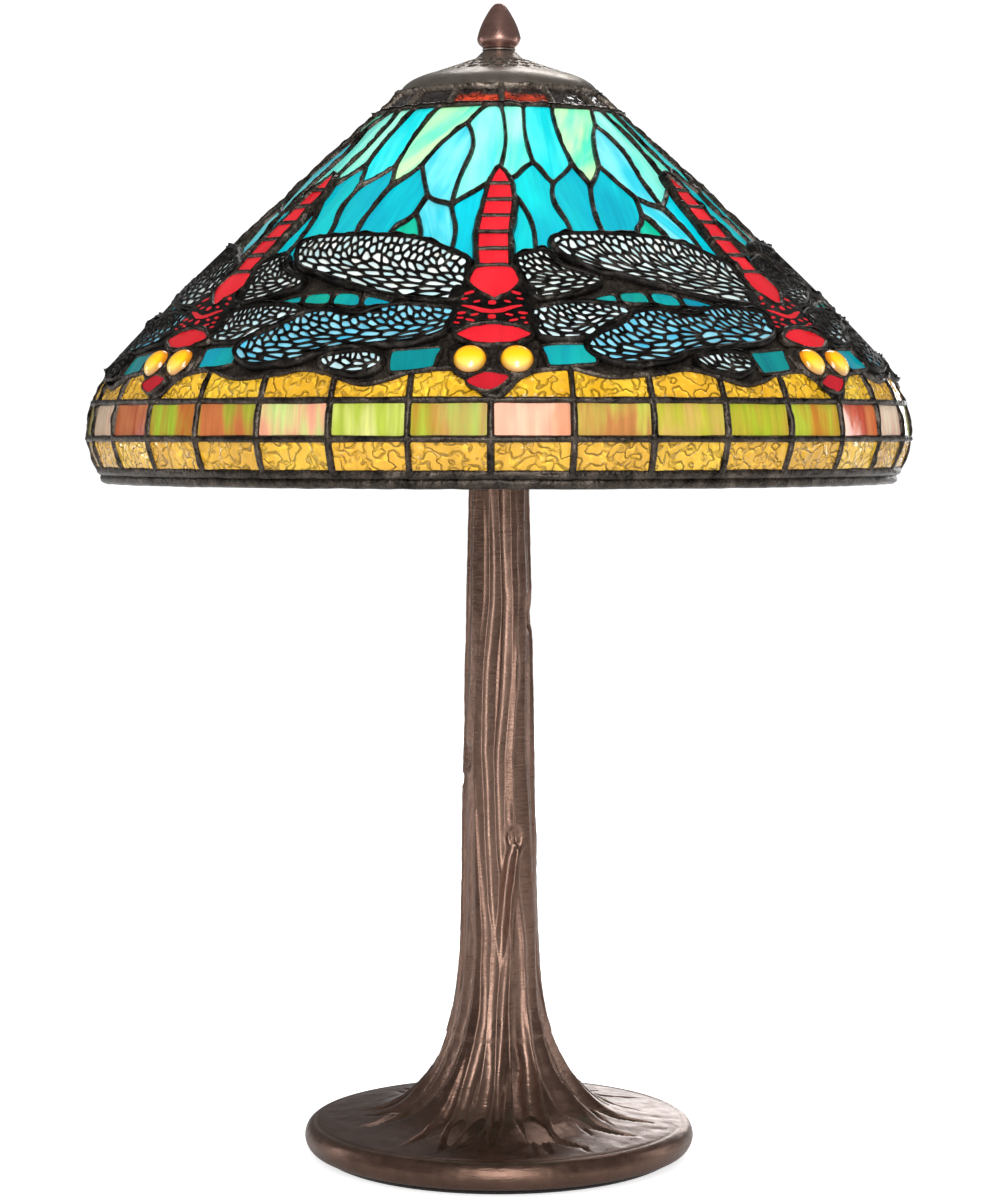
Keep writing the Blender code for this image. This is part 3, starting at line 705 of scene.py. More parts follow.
# Each leaf of the background: its sides in order, its two tones, and the angle of its grain.
LEAVES = [
    ("T1T2 L2 A1 -C1 -L1", "#50E8D0", "#A0F4D8", 4),
    ("T2T3 L3 A3 -A2 -L2", "#00D4DC", "#50ECE8", -3),
    ("T3T4 L4a L4b A5 -A4 -L3", "#58E8C0", "#C4FFB4", 24),
    ("L5 -L6b -L6a -L4b", "#30CCE0", "#80E8EC", 8),
    ("T4T1' L1' C1' -L7 -L5 -L4a", "#4CE0D4", "#90F2DC", 6),
    ("L9 -CbW9 -C2", "#00B4C4", "#00C8CC", 2),
    ("-A1 A2 L10 -W9W10 -L9", "#00B6C8", "#00CCCC", 2),
    ("-A3 A4 L11 -W10W11 -L10", "#00B0C6", "#08BEC0", 0),
    ("-A5 L6a L12a L12b -W11W28 -L11", "#00A8C0", "#00C0CC", 8),
    ("L12c -W28W36 -L12b", "#08B490", "#14C8A8", -8),
    ("L6b L13 -W36W42 -L12c -L12a", "#30CCE0", "#90ECEE", -20),
    ("L7 C2' -W42Cb' -L13", "#00BCD0", "#00D0E0", 4),
]


def spot(name, sector):
    t, s = SPOTS[name.rstrip("'")]
    return (t + STEP * (sector + name.count("'")), s)


RUNS = {}
for name, (start, bends, end) in CURVES.items():
    RUNS[name] = line([spot(start, 0), *bends, spot(end, 0)])


def run(name, sector):
    """One named line in a sector. A leading minus runs it backwards, a quote is the next sector's."""
    points = RUNS[name.lstrip("-")] if name.lstrip("-") in RUNS else RUNS[name.strip("-'")] + [STEP, 0]
    points = points + [STEP * sector, 0]
    return points[::-1] if name.startswith("-") else points


sheet = Batch()
for sector in range(SECTORS):
    for number, (sides, a, b, grain) in enumerate(LEAVES):
        ring = chain([run(side, sector) for side in sides.split()])
        pane(ring, sheet, tones(a, b, 0.08), seed=sector * 40 + number,
             grain=grain + 8 * rng.uniform(-1, 1), ripple=0.16)


# ------------------------------------------------------------------ the band that the wings lie on

UPPER, LOWER, RIM_LINE = 217.0, 234.5, 251.3
WAVE = line([(FIRST, UPPER), (0.4, 214.5), (1.6, 209.5), (4, 203.2), (9, 201), (12, 203.8), (15, 205.5),
             (20, 204), (22, 203), (25, 201), (28.3, 203), (31, 206.5), (34, 209), (37, 206.8),
             (39.3, 203.7), (42, 201.8), (46, 201.5), (48.6, 205.5), (50, 211),
             (FIRST + STEP, UPPER)], 1.4)
BORDER_SPLITS = [FIRST + PANE_STEP * k for k in range(6)]


def wave(a, b):
    """The border's wavy top line between two angles."""
    inner = WAVE[(WAVE[:, 0] > a + 0.1) & (WAVE[:, 0] < b - 0.1)]
    ends = [(t, np.interp(t, WAVE[:, 0], WAVE[:, 1])) for t in (a, b)]
    return np.vstack([ends[:1], inner, ends[1:]])


def shade_sheet(batch, ring, level, spacing, rough, size=5.0, edge=None):
    """A sheet of uneven solder that fills a ring of (t, s). Its edge can slope down to a level."""
    _, xy, centre = laid(ring)
    filled, faces = fill(xy, spacing)
    base = lifted(filled, centre)
    lift = level + rough * noise(base, size, 2) + 0.5 * rough * noise(base, size * 0.4, 5)
    if edge is not None:
        share = np.clip(nearest(filled, xy)[0] / 1.4, 0, 1)
        lift = edge + (lift - edge) * np.sqrt(1 - (1 - share) ** 2)
    batch.add(lifted(filled, centre, lift), [list(f)[::-1] for f in faces])


field = Batch()
for sector in range(SECTORS):
    top = [run(side, sector) for side in ("CbW9", "W9W10", "W10W11", "W11W28", "W28W36", "W36W42",
                                          "W42Cb'")]
    left = straight(SPOTS["Cb"], (FIRST, UPPER)) + [STEP * sector, 0]
    below = WAVE[::-1] + [STEP * sector, 0]
    shade_sheet(field, chain([*top, left + [STEP, 0], below, left[::-1]]), -0.45, 2.2, 0.4)

# Turquoise glass that shows between the wings, and beside the eyes, as rings of (t, s).
LENS_TOP = [(14.0, 159.6), (16.3, 156.9), (19, 154.8), (23, 153.8), (27, 154.4), (30.5, 156.4),
            (33.3, 159), (36.2, 162.6)]
LENS_FOOT = [(14.0, 159.6), (16.3, 160.8), (20, 161.6), (25, 162.6), (30, 163.9), (33.5, 163.8),
             (36.2, 162.6)]
LENS_SPLITS = [14.0, 19.0, 24.4, 29.8, 36.2]
WINDOWS = []
for a, b in zip(LENS_SPLITS, LENS_SPLITS[1:]):
    between = np.linspace(a, b, 12)
    over = np.interp(between, *np.array(LENS_TOP).T)
    under = np.interp(between, *np.array(LENS_FOOT).T)
    WINDOWS.append(np.vstack([np.stack([between, over], 1)[:-1], np.stack([between, under], 1)[::-1]]))
for corners in ([(5.6, 188.8), (8, 187.6), (12.6, 187.6), (12.9, 193.5), (13.1, 199.2), (9, 200.4),
                 (6.4, 200.9), (6.2, 195)],
                [(36.8, 191.5), (40, 190.6), (44.0, 189.4), (43.3, 195), (43.1, 201.7),
                 (40.5, 203), (37.2, 204.2), (36.9, 198)]):
    WINDOWS.append(corners_ring(corners))


def framed(ring, solder_batch, glass, colours, level, crest, inner_width=0.75, outer_width=1.5,
           foot=-0.5, seed=0, spacing=2.2, **options):
    """A raised pane inside its own whole bead of solder."""
    _, xy, centre = laid(ring)
    inner = inset(xy, inner_width)
    bead_ring(solder_batch, xy, inner, centre, crest, level - 0.35)
    bead_ring(solder_batch, xy, outset(xy, outer_width), centre, crest, foot, outwards=True)
    glass_sheet(glass, xy + (inner - xy) * TUCK, centre, level, spacing, colours, seed=seed,
                thickness=0.6, **options)


WINDOW_TONES = [("#008894", "#08A49C"), ("#00868C", "#08A088"), ("#008C9C", "#04A49C"),
                ("#00809C", "#0494A4"), ("#0090A8", "#00A09C"), ("#007880", "#008888")]
for sector in range(SECTORS):
    for number, (ring, colours) in enumerate(zip(WINDOWS, WINDOW_TONES)):
        framed(ring + [STEP * sector, 0], field, sheet, tones(*colours, 0.1), 0.6, 1.45,
               seed=500 + sector * 9 + number)

# ------------------------------------------------------------------ border rows and crown row

amber, streaky, ripple = Batch(), Batch(), Batch()
AMBERS = [("#DCA01C", "#F8C438"), ("#E0A81C", "#FCCC3C"), ("#DCA424", "#F4BC34")]
# Two tones for each pane of the streaky row, beginning at the front and going round towards +X.
STREAKS = [
    ("#E0A478", "#E48C60"), ("#C4C854", "#C08048"), ("#C0BC3C", "#D8B060"), ("#A8B82C", "#C8A83C"),
    ("#C8822C", "#B8C23C"), ("#C04828", "#DC8444"), ("#F0C0A8", "#F8E0C4"), ("#B8C444", "#E8E4A0"),
    ("#E0D890", "#C8703C"), ("#D88C3C", "#C8C850"), ("#F0D0B0", "#E8A070"), ("#B4C838", "#DCDC80"),
    ("#C46030", "#E0A860"), ("#E8E0B0", "#B8C850"), ("#D0A040", "#A8B83C"), ("#F0B898", "#E88860"),
    ("#BCC848", "#F0E8B0"), ("#C87838", "#D8B850"), ("#E8D8A8", "#D88868"), ("#B0C040", "#C8B848"),
    ("#D86840", "#F0B080"), ("#E4E0A0", "#A8BC3C"), ("#C89840", "#E0CC70"), ("#F0C8B0", "#C86040"),
    ("#B8C440", "#DCD080"), ("#D88048", "#B8B840"), ("#ECE0B0", "#F0B890"), ("#A8B834", "#D0B04C"),
    ("#DCC0A4", "#D89C84"), ("#A8482C", "#C47444"), ("#A4B834", "#C07030"), ("#A8A838", "#C47040"),
    ("#CCDC88", "#F0A888"), ("#B4C448", "#E0E088"), ("#BC8C2C", "#A4B434"),
]

HAMMERED = {"leads": lead_border, "spacing": 1.0, "hammer": 0.42, "dome": 0.2}
for sector in range(SECTORS):
    shift = [STEP * sector, 0]
    for k, (a, b) in enumerate(zip(BORDER_SPLITS, BORDER_SPLITS[1:])):
        top = wave(a, b)
        sides = [top, straight((b, UPPER), (a, UPPER))]
        if k < 4:
            sides.insert(1, straight(top[-1], (b, UPPER)))
        if k > 0:
            sides.append(straight((a, UPPER), top[0]))
        ring = chain(sides)
        number = sector * 5 + k
        pane(ring + shift, amber, tones(*AMBERS[(k + sector) % 3], 0.08), seed=900 + number,
             **HAMMERED)
        below, rim = (corners_ring([(a, high), (b, high), (b, low), (a, low)]) + shift
                      for high, low in ((UPPER, LOWER), (LOWER, RIM_LINE)))
        pane(below, streaky, tones(*STREAKS[number], 0.04), leads=lead_border, seed=1200 + number,
             grain=3 * rng.uniform(-1, 1), ripple=0.1)
        pane(rim, amber, tones(*AMBERS[(number * 2) % 3], 0.08), seed=1500 + number, **HAMMERED)

CROWN_PANES = 15
CROWN_STEP = 360 / CROWN_PANES
CROWN_START = 1.2  # angle of the seam between the two panes at the front
CROWN_TOP, CROWN_FOOT = 0.9, 17
CROWN_RED_TOP = 522.8  # the red of the two front panes begins at this height, in a ragged edge; above it they stay dark, which is dark glass together with painted shade under the cap's lip
for k in range(CROWN_PANES):
    a, b = CROWN_START + CROWN_STEP * (k - 1), CROWN_START + CROWN_STEP * k
    ring = corners_ring([(a, CROWN_TOP), (b, CROWN_TOP), (b, CROWN_FOOT), (a, CROWN_FOOT)], 1.2)
    pane(ring, ripple, tones("#100C0A", "#3A3230", 0.1), leads=lead_crown, half_width=1.8,
         crest=1.7, level=-0.9, seed=1800 + k, grain=80, spacing=0.8, hammer=0.6)
    # The two front panes: red below, dark above, the dark part being partly painted shade under the
    # cap's lip.
    if k in (0, 1):
        points = ripple.points[-1]
        red = np.clip((CROWN_RED_TOP + 1.3 * noise(points, 3.0, 77) - points[:, 2]) / 2.2, 0, 1)
        red = red[:, None]
        for key, value in tones("#6A1C10", "#F04C24").items():
            ripple.attributes[key][-1] = ripple.attributes[key][-1] * (1 - red) + value * red


def shade_ring(profile, rough=0.3, segments=720):
    """A ring round the shade, from a closed run of (s, lift)."""
    angle = np.linspace(0, 360, segments, endpoint=False)
    points = []
    for s, lift in profile:
        uneven = 1 + rough * noise(on_shade(angle, s), 6.0, 4) if lift > 0 else 1
        points.append(on_shade(angle, s, lift * uneven))
    faces = grid_faces(len(profile) + 1, segments)
    total = len(profile) * segments
    return np.concatenate(points), [[v % total for v in f[::-1]] for f in faces]


ring_metal = Batch()
ring_metal.add(*shade_ring([(248.9, -1.0), (249.4, 0.4), (250.3, 1.0), (251.5, 1.3), (252.8, 1.1),
                            (253.6, 0.4), (253.7, -1.0), (253.6, -3.4), (252.6, -4.4),
                            (250.4, -4.4), (249.0, -3.6)]))
ring_metal.add(*shade_ring([(2.2, -1.4), (1.9, -0.2), (1.4, 0.2), (0.9, 0.1), (0.6, -0.4), (0.4, -1.2),
                            (0.4, -3.0), (1.0, -3.9), (1.8, -4.0), (2.2, -3.6)], segments=360))


# ------------------------------------------------------------------ wings

WING_GLASS_LEVEL = 1.6
FILIGREE_TOP = 2.35
HALF_WIRE = 0.6  # half of the metal between two cells of a wing
WING_EDGE = 0.3  # clearance of the cells from the wing's outline
NEIGHBOURS = 15  # seeds whose bisectors can bound a cell
CELL_REACH = 9.0  # half of the square that each cell is cut from
SMALLEST_CELL = 1.0  # square millimetres


def clip(polygon, normal, limit):
    """The part of a convex polygon where place . normal is at most limit."""
    side = polygon @ normal - limit
    out = []
    for k in range(len(polygon)):
        a, b, da, db = polygon[k - 1], polygon[k], side[k - 1], side[k]
        if (da <= 0) != (db <= 0):
            out.append(a + (b - a) * (da / (da - db)))
        if db <= 0:
            out.append(b)
    return np.array(out).reshape(-1, 2)


def extent(xy, x):
    """Lowest and highest y of an outline at each x."""
    a, b = xy, np.roll(xy, -1, axis=0)
    crosses = (a[:, 0] <= x[:, None]) != (b[:, 0] <= x[:, None])
    y = a[:, 1] + (x[:, None] - a[:, 0]) * (b[:, 1] - a[:, 1]) / (b[:, 0] - a[:, 0] + 1e-9)
    return np.where(crosses, y, 1e9).min(axis=1), np.where(crosses, y, -1e9).max(axis=1)


def reach(polygon, centre, directions):
    """Distance from a centre inside a convex polygon to its edge along each direction."""
    d = np.roll(polygon, -1, axis=0) - polygon
    d = d[np.linalg.norm(d, axis=1) > 1e-6]
    a = polygon[np.linalg.norm(np.roll(polygon, -1, axis=0) - polygon, axis=1) > 1e-6]
    normal = np.stack([d[:, 1], -d[:, 0]], axis=1)
    normal /= np.linalg.norm(normal, axis=1)[:, None]
    gap = np.sum(normal * (a - centre), axis=1)
    rate = directions @ normal.T
    return np.where(rate > 1e-6, gap / np.maximum(rate, 1e-6), 1e9).min(axis=1)


def chaikin(polygon):
    """The polygon with its corners cut twice."""
    for _ in range(2):
        after = np.roll(polygon, -1, axis=0)
        polygon = np.stack([0.75 * polygon + 0.25 * after,
                            0.25 * polygon + 0.75 * after], axis=1).reshape(-1, 2)
    return polygon


def scatter(xy, shape, seed, tries=5000):
    """Seeds in an outline, spaced by the metric that shape gives at each place."""
    r = np.random.default_rng(seed)
    low, high = xy.min(axis=0), xy.max(axis=0)
    p = low + (high - low) * r.random((tries, 2))
    p = p[inside(p, xy)]
    p = p[nearest(p, xy)[0] > 1.1]
    metric = shape(p)
    kept = [0]
    for k in range(1, len(p)):
        d = p[kept] - p[k]
        m = 0.5 * (metric[kept] + metric[k])
        if np.einsum("ij,ijk,ik->i", d, m, d).min() > 1:
            kept.append(k)
    return p[kept], metric[kept]


def wing_shape(xy, small, large, seed):
    """The metric of a wing: upright short cells at its leading edge, long flat ones at its foot.

    Each of small and large is a cell's length and height.
    """

    def shape(p):
        low, high = extent(xy, p[:, 0])
        _, left = extent(xy, p[:, 0] - 3)
        _, right = extent(xy, p[:, 0] + 3)
        foot = np.where((left > 0) & (right > 0), np.arctan((right - left) / 6), 0)
        depth = np.clip((p[:, 1] - low) / np.maximum(high - low, 1), 0, 1)
        place = np.stack([p[:, 0], p[:, 1], np.full(len(p), seed * 3.0)], axis=1)
        blend = np.clip((depth - 0.25) / 0.45, 0, 1)
        angle = foot + math.radians(72) * (1 - blend) + 0.45 * noise(place, 9.0)
        size = 1 + 0.22 * noise(place, 5.0, 7)
        a = (small[0] + (large[0] - small[0]) * depth ** 1.3) * size
        b = (small[1] + (large[1] - small[1]) * depth) * size
        c, s = np.cos(angle), np.sin(angle)
        along, across = 1 / a ** 2, 1 / b ** 2
        return np.stack([
            np.stack([c * c * along + s * s * across, c * s * (along - across)], axis=1),
            np.stack([c * s * (along - across), s * s * along + c * c * across], axis=1),
        ], axis=1)

    return shape


def filigree_cells(xy, centre, shape, metal, glass, colours, seed):
    """Fills a wing with small panes, each inside its own share of the pierced metal.

    Each cell is the part of the wing that is nearer to its seed than to any other by the metric.
    """
    seeds, metric = scatter(xy, shape, seed)
    edge_a, edge_b = xy, np.roll(xy, -1, axis=0)
    edge_d = edge_b - edge_a
    edge_n = np.stack([edge_d[:, 1], -edge_d[:, 0]], axis=1)
    edge_n /= np.maximum(np.linalg.norm(edge_n, axis=1), 1e-9)[:, None]
    square = np.array([(-1, -1), (1, -1), (1, 1), (-1, 1)]) * CELL_REACH
    for k, p in enumerate(seeds):
        planes = []
        d = seeds - p
        m = 0.5 * (metric + metric[k])
        normal = np.einsum("ijk,ik->ij", m, d)
        for j in np.argsort(np.einsum("ij,ij->i", d, normal))[1:NEIGHBOURS + 1]:
            n = normal[j] / np.linalg.norm(normal[j])
            planes.append((n, n @ (p + d[j] / 2)))
        away = np.sum(edge_n * (edge_a - p), axis=1)
        close = np.linalg.norm((edge_a + edge_b) / 2 - p, axis=1) < CELL_REACH
        for j in np.nonzero(close & (away > WING_EDGE))[0]:
            planes.append((edge_n[j], edge_n[j] @ edge_a[j] - WING_EDGE))
        outer, inner = p + square, p + square
        for n, limit in planes:
            outer = clip(outer, n, limit)
            inner = clip(inner, n, limit - HALF_WIRE)
            if len(inner) < 3:
                break
        if len(inner) < 3 or area(inner) < SMALLEST_CELL:
            continue
        middle = inner.mean(axis=0)
        rounded = chaikin(inner)
        corners = np.arctan2(*(outer - middle).T[::-1])
        angles = np.sort(np.concatenate([corners, np.linspace(-math.pi, math.pi, 12, False)]))
        angles = angles[np.append(True, np.diff(angles) > 0.06)]
        directions = np.stack([np.cos(angles), np.sin(angles)], axis=1)
        far, near = reach(outer, middle, directions), reach(rounded, middle, directions)
        near = np.minimum(near, far * 0.97)
        n = len(angles)
        points = [lifted(middle + directions * (far + (near - far) * share)[:, None], centre, level)
                  for share, level in ((0.0, FILIGREE_TOP), (0.8, FILIGREE_TOP - 0.06),
                                       (1.0, WING_GLASS_LEVEL - 0.1))]
        metal.add(np.concatenate(points), ring_faces(3, n))
        fan = np.vstack([middle + directions * (near + 0.06)[:, None], middle])
        paint = tones(*colours, 0.2)
        flow = np.vstack([directions * 2, [[0, 0]]]) @ np.eye(2, 3)
        flow = flow + [seed * 5.0 + k * 3.1, k * 7.7, k * 1.3]
        glass.add(lifted(fan, centre, WING_GLASS_LEVEL), [[(j + 1) % n, j, n] for j in range(n)],
                  flow=flow,
                  **{key: value[None] for key, value in paint.items()})


def skirt(batch, ring, centre, crest, foot, width, rough=0.4, inwards=None, inner_foot=0.4):
    """A thick uneven run of solder that slopes out from a ring, and a little way in."""
    _, xy, centre = laid(ring, centre)
    uneven = 1 + 0.3 * noise(lifted(xy, centre), 7.0, 11)
    crest_line = outset(xy, 0.7 * (inwards is not None))
    outer = xy + (outset(xy, width) - xy) * uneven[:, None]
    bead_ring(batch, crest_line, outer, centre, crest, foot, rough, outwards=True)
    if inwards is not None:
        bead_ring(batch, crest_line, inset(xy, inwards), centre, crest, inner_foot, rough)


# The visible part of each wing, and the small tip under the lower left one: its outline in (t, s), how
# many sectors back its dragonfly is, and its two tones.
WINGS = {
    "upper_right": ([(3.0, 133), (5.5, 129.5), (8.2, 127), (9.0, 130), (10.2, 137), (13.6, 142),
                     (16.6, 146), (16.8, 149), (14, 153), (10, 157.5), (6, 159.5), (4.6, 158),
                     (4.2, 150), (3.4, 140)], 0, ("#CFE9E6", "#F2F5F0")),
    "upper_left": ([(46.0, 134.5), (44.8, 131.5), (42.6, 128), (40, 124), (37.4, 120.5), (34.6, 118.4),
                    (31, 117), (26, 116), (20, 115.6), (15.5, 115.8), (12.2, 116.6), (10.2, 119.5),
                    (10.6, 126), (13.8, 135.5), (18.3, 140.5), (22.8, 145), (27.4, 150), (32, 155),
                    (36.6, 158.4), (42, 160.3), (45.6, 160.4), (46.0, 147)], 1,
                   ("#BFE6EA", "#F4F2EA")),
    "lower_right": ([(4.6, 168), (8, 164), (12, 162.5), (16.6, 163.2), (19.4, 165.6), (19.6, 170),
                     (17.6, 175), (14.8, 180), (12.8, 183.6), (9, 185.4), (5.8, 183.6), (5.0, 178),
                     (4.4, 172)], 0, ("#B4E0E8", "#E8F0F0")),
    "lower_left": ([(44.8, 167), (41.5, 165), (36.8, 163.6), (33, 165.8), (30.4, 169.2), (27.6, 168),
                    (23.8, 166.6), (20.2, 169.2), (17.8, 175), (14.6, 180.6), (12.5, 186.4),
                    (12.2, 191), (13.6, 195.6), (16.4, 199.2), (20, 198.6), (23.8, 196.4),
                    (26.6, 192), (31.2, 189.6), (35, 188), (38.6, 186.6), (42.4, 183), (44.4, 178),
                    (45.0, 172)], 1, ("#48B8DC", "#A0DCEA")),
    "tip": ([(27.2, 196.2), (29.7, 193.8), (32.8, 192.6), (35.2, 194), (36.0, 198), (35.2, 202.2),
             (32.7, 204.6), (29.6, 203.2), (27.7, 200)], 1, ("#B8E4EA", "#E4F0F0")),
}
SMALL_WINGS = ("upper_right", "lower_right", "tip")
SMALL_CELL, LARGE_CELL = (3.9, 2.7), (10.8, 2.45)  # length and height

filigrees, wing_panes = [], []
for sector in range(SECTORS):
    metal, glass = Batch(), Batch()
    for number, (wing, (outline, back, colours)) in enumerate(WINGS.items()):
        ring, xy, centre = laid(closed_line(outline, 1.5) + [STEP * (sector - back), 0])
        seed = 40 + number + 10 * sector
        shade_sheet(metal, ring, 1.3, 3.0, 0.05)
        size = 0.85 if wing in SMALL_WINGS else 1.0
        shape = wing_shape(xy, np.array(SMALL_CELL) * size, np.array(LARGE_CELL) * size, seed)
        filigree_cells(xy, centre, shape, metal, glass, colours, seed)
        skirt(metal, ring, centre, 2.75, -0.55, 2.6, inwards=0.5, inner_foot=2.05)
    filigrees.append(metal)
    wing_panes.append(glass)


# ------------------------------------------------------------------ dragonfly bodies

TAIL_RIGHT = [(0.2, 67.2), (2.0, 72.5), (3.2, 80), (3.5, 92), (2.8, 104), (2.2, 115.5), (2.1, 127),
              (2.0, 138.8)]
TAIL_LEFT = [(0.0, 67.2), (-1.4, 72.5), (-2.5, 80), (-3.3, 92), (-3.9, 104), (-4.3, 115.5),
             (-4.1, 127), (-3.6, 138.8)]
TAIL_JOINTS = [80.7, 92.6, 103.9, 115.6, 127.3, 138.8]
THORAX = [(2.0, 138.8), (3.3, 145), (3.5, 150), (2.0, 156), (-0.5, 161.8), (-3.2, 156), (-5.0, 150),
          (-4.8, 145), (-3.6, 138.8)]
WEB = [(-7.0, 151), (-4.0, 154), (-0.9, 160), (2.2, 154), (5.2, 151), (6.2, 160), (5.4, 168),
       (6.2, 177), (3.4, 180), (-0.9, 178), (-5.2, 180), (-8.0, 177), (-7.2, 168), (-8.0, 160)]
HEAD = [(-0.6, 175.2), (2.6, 177.4), (4.9, 182.4), (4.3, 185), (2.0, 189), (-0.6, 190),
        (-3.4, 189), (-5.7, 185), (-6.3, 182.4), (-4.0, 177.4)]
EYES = [(-3.75, 198), (2.35, 198)]
EYE_RADIUS, EYE_FOOT, EYE_RISE, EYE_RINGS = 7.3, 1.7, 4.4, 14
EYE_BEZEL = [(0.93, 1.7), (0.99, 2.4), (1.07, 2.6), (1.18, 2.0), (1.3, 0.7)]  # share of radius, lift
AROUND = np.linspace(0, 2 * math.pi, 40, endpoint=False)
AROUND = np.stack([np.cos(AROUND), np.sin(AROUND)], axis=1)
MOUTH = [(-4.1, 209.2), (-2.8, 206.4), (-1.5, 204.9), (0.2, 206.0), (1.3, 207.0), (0.5, 210.6),
         (-1.2, 213.6), (-3.0, 212.0)]
FACE = [(-5.8, 188), (4.6, 188), (5.3, 197), (4.6, 203), (2.9, 207), (0.9, 215), (-0.6, 218),
        (-2.2, 215), (-4.3, 208), (-6.0, 203), (-6.7, 197)]
BODY_GLASS, BODY_CREST, WEB_LEVEL = 2.0, 3.1, 2.6
REDS = [("#D81424", "#E81E2C"), ("#CC1020", "#E01828"), ("#D41222", "#E41A28")]


# Red glass that shows through the filigree between the wings: degrees from the centre line, distance
# down the shade, then half its length and height, and its tilt. The first two are mirrored.
WEB_OPENINGS = [
    ((3.6, 157.6), 2.6, 0.9, 24), ((4.2, 161.4), 1.7, 0.6, 12), ((2.3, 163.2), 1.7, 0.7, 18),
    ((0, 163.9), 1.9, 1.3, 0), ((0, 172.9), 1.9, 1.3, 0), ((4.5, 170.6), 2.3, 0.8, 10),
    ((2.5, 171.6), 1.9, 0.7, 16), ((4.6, 173.6), 1.8, 0.6, 0), ((3.1, 175.0), 2.2, 0.7, -16),
    ((5.0, 176.6), 1.6, 0.6, -10),
]
CHEVRON = [(0.0, 168.3), (1.4, 167.4), (2.8, 165.8), (4.4, 165.2), (4.6, 166.1), (3.0, 168.1),
           (1.6, 170.3), (0.0, 170.9)]


def raised_chip(batch, ring, level):
    """A flat chip of glass whose edge falls away, from a ring of (t, s)."""
    _, xy, centre = laid(ring)
    glass_sheet(batch, inset(xy, 0.12, rounds=3), centre, level, 1.0,
                tones("#C41020", "#D81C2A", 0.08), ripple=0.03, dome=0.12, thickness=0.5, facet=0)


def red_chip(batch, t, s, length, height, tilt):
    angle = np.linspace(0, 2 * math.pi, 18, endpoint=False)
    c, n = math.cos(math.radians(tilt)), math.sin(math.radians(tilt))
    x = 1.15 * length * np.cos(angle) * (1 - 0.12 * np.cos(2 * angle))
    y = 1.3 * height * np.sin(angle) * (1 + 0.1 * np.cos(2 * angle))
    xy = np.stack([c * x - n * y, n * x + c * y + s], axis=1)
    raised_chip(batch, unflat(xy, t), WEB_LEVEL + 0.08)


def side_of(points, s):
    return (np.interp(s, [p[1] for p in points], [p[0] for p in points]), s)


def body_pane(ring, metal, glass, number, thickness=1.4):
    pane(ring, glass, tones(*REDS[number % 3], 0.06), leads=metal, half_width=1.25,
         crest=BODY_CREST, level=BODY_GLASS, seed=2000 + number, spacing=1.8, thickness=thickness,
         ripple=0.06, dome=0.25, facet=0.2)


eyes = []
bodies = []
for sector in range(SECTORS):
    shift = np.array([STEP * sector, 0])
    metal, red, amber_eyes = Batch(), Batch(), Batch()
    number = sector * 10
    start = TAIL_RIGHT[0][1]
    for end in TAIL_JOINTS:
        right = [p for p in TAIL_RIGHT if start < p[1] < end]
        left = [p for p in TAIL_LEFT if start < p[1] < end]
        corners = [side_of(TAIL_LEFT, start), side_of(TAIL_RIGHT, start), *right,
                   side_of(TAIL_RIGHT, end), side_of(TAIL_LEFT, end), *left[::-1]]
        body_pane(corners_ring(corners, 1.0) + shift, metal, red, number)
        number += 1
        start = end
    centre = FIRST + shift[0]
    body_pane(closed_line(THORAX[:-1] + [(-3.6, 139.2)], 1.0) + shift, metal, red, number)
    head = corners_ring(HEAD, 1.0) + shift
    body_pane(head, metal, red, number + 1)
    outline = corners_ring(TAIL_RIGHT + THORAX[1:-1] + TAIL_LEFT[::-1], 1.0) + shift
    skirt(metal, outline, centre, BODY_CREST, -0.6, 2.1, rough=0.3)
    skirt(metal, head, centre, BODY_CREST, 0.0, 1.8)

    web = closed_line(WEB, 1.5) + shift
    shade_sheet(filigrees[sector], web, WEB_LEVEL, 1.2, 0.06, edge=0.2)
    for place, length, height, tilt in WEB_OPENINGS:
        for side in ((-1, 1) if place[0] else (1,)):
            red_chip(red, centre + side * place[0], place[1], length, height, side * tilt)
    chevron = CHEVRON + [(-t, s) for t, s in CHEVRON[::-1]]
    chevron = corners_ring([(centre + t, s) for t, s in dict.fromkeys(chevron)], 1.0)
    raised_chip(red, chevron, WEB_LEVEL + 0.08)

    face = closed_line(FACE, 1.5) + shift
    shade_sheet(metal, face, 1.3, 1.1, 0.7, size=3.0, edge=-0.3)
    mouth = closed_line(MOUTH, 1.0) + shift
    framed(mouth, metal, red, tones("#AC1020", "#C81C2A", 0.05), 2.4, 2.9, inner_width=0.2,
           outer_width=1.3, foot=0.9, seed=2100 + sector, spacing=1.2, ripple=0.12)
    for t, s in EYES:
        points, flow = [], []
        for share in np.linspace(0.04, 1, EYE_RINGS):
            lift = EYE_FOOT + EYE_RISE * math.sqrt(max(0.0, 1 - share ** 2.2))
            points.append(lifted([0, s] + AROUND * EYE_RADIUS * share, t + shift[0], lift))
            flow.append(np.column_stack([AROUND * share, np.full(len(AROUND), share)]))
        faces = [f[::-1] for f in ring_faces(EYE_RINGS, len(AROUND))] + [[*range(len(AROUND))][::-1]]
        amber_eyes.add(np.concatenate(points), faces, flow=np.concatenate(flow),
                       tone_a=np.array(srgb("#F8B400"))[None])
        bezel = []
        for share, level in EYE_BEZEL:
            xy = [0, s] + AROUND * EYE_RADIUS * share
            uneven = 0.25 * noise(lifted(xy, t + shift[0]), 3.0, 8)
            bezel.append(lifted(xy, t + shift[0], level + uneven))
        metal.add(np.concatenate(bezel), [f[::-1] for f in ring_faces(len(EYE_BEZEL), len(AROUND))])
    bodies.append((metal, red))
    eyes.append(amber_eyes)
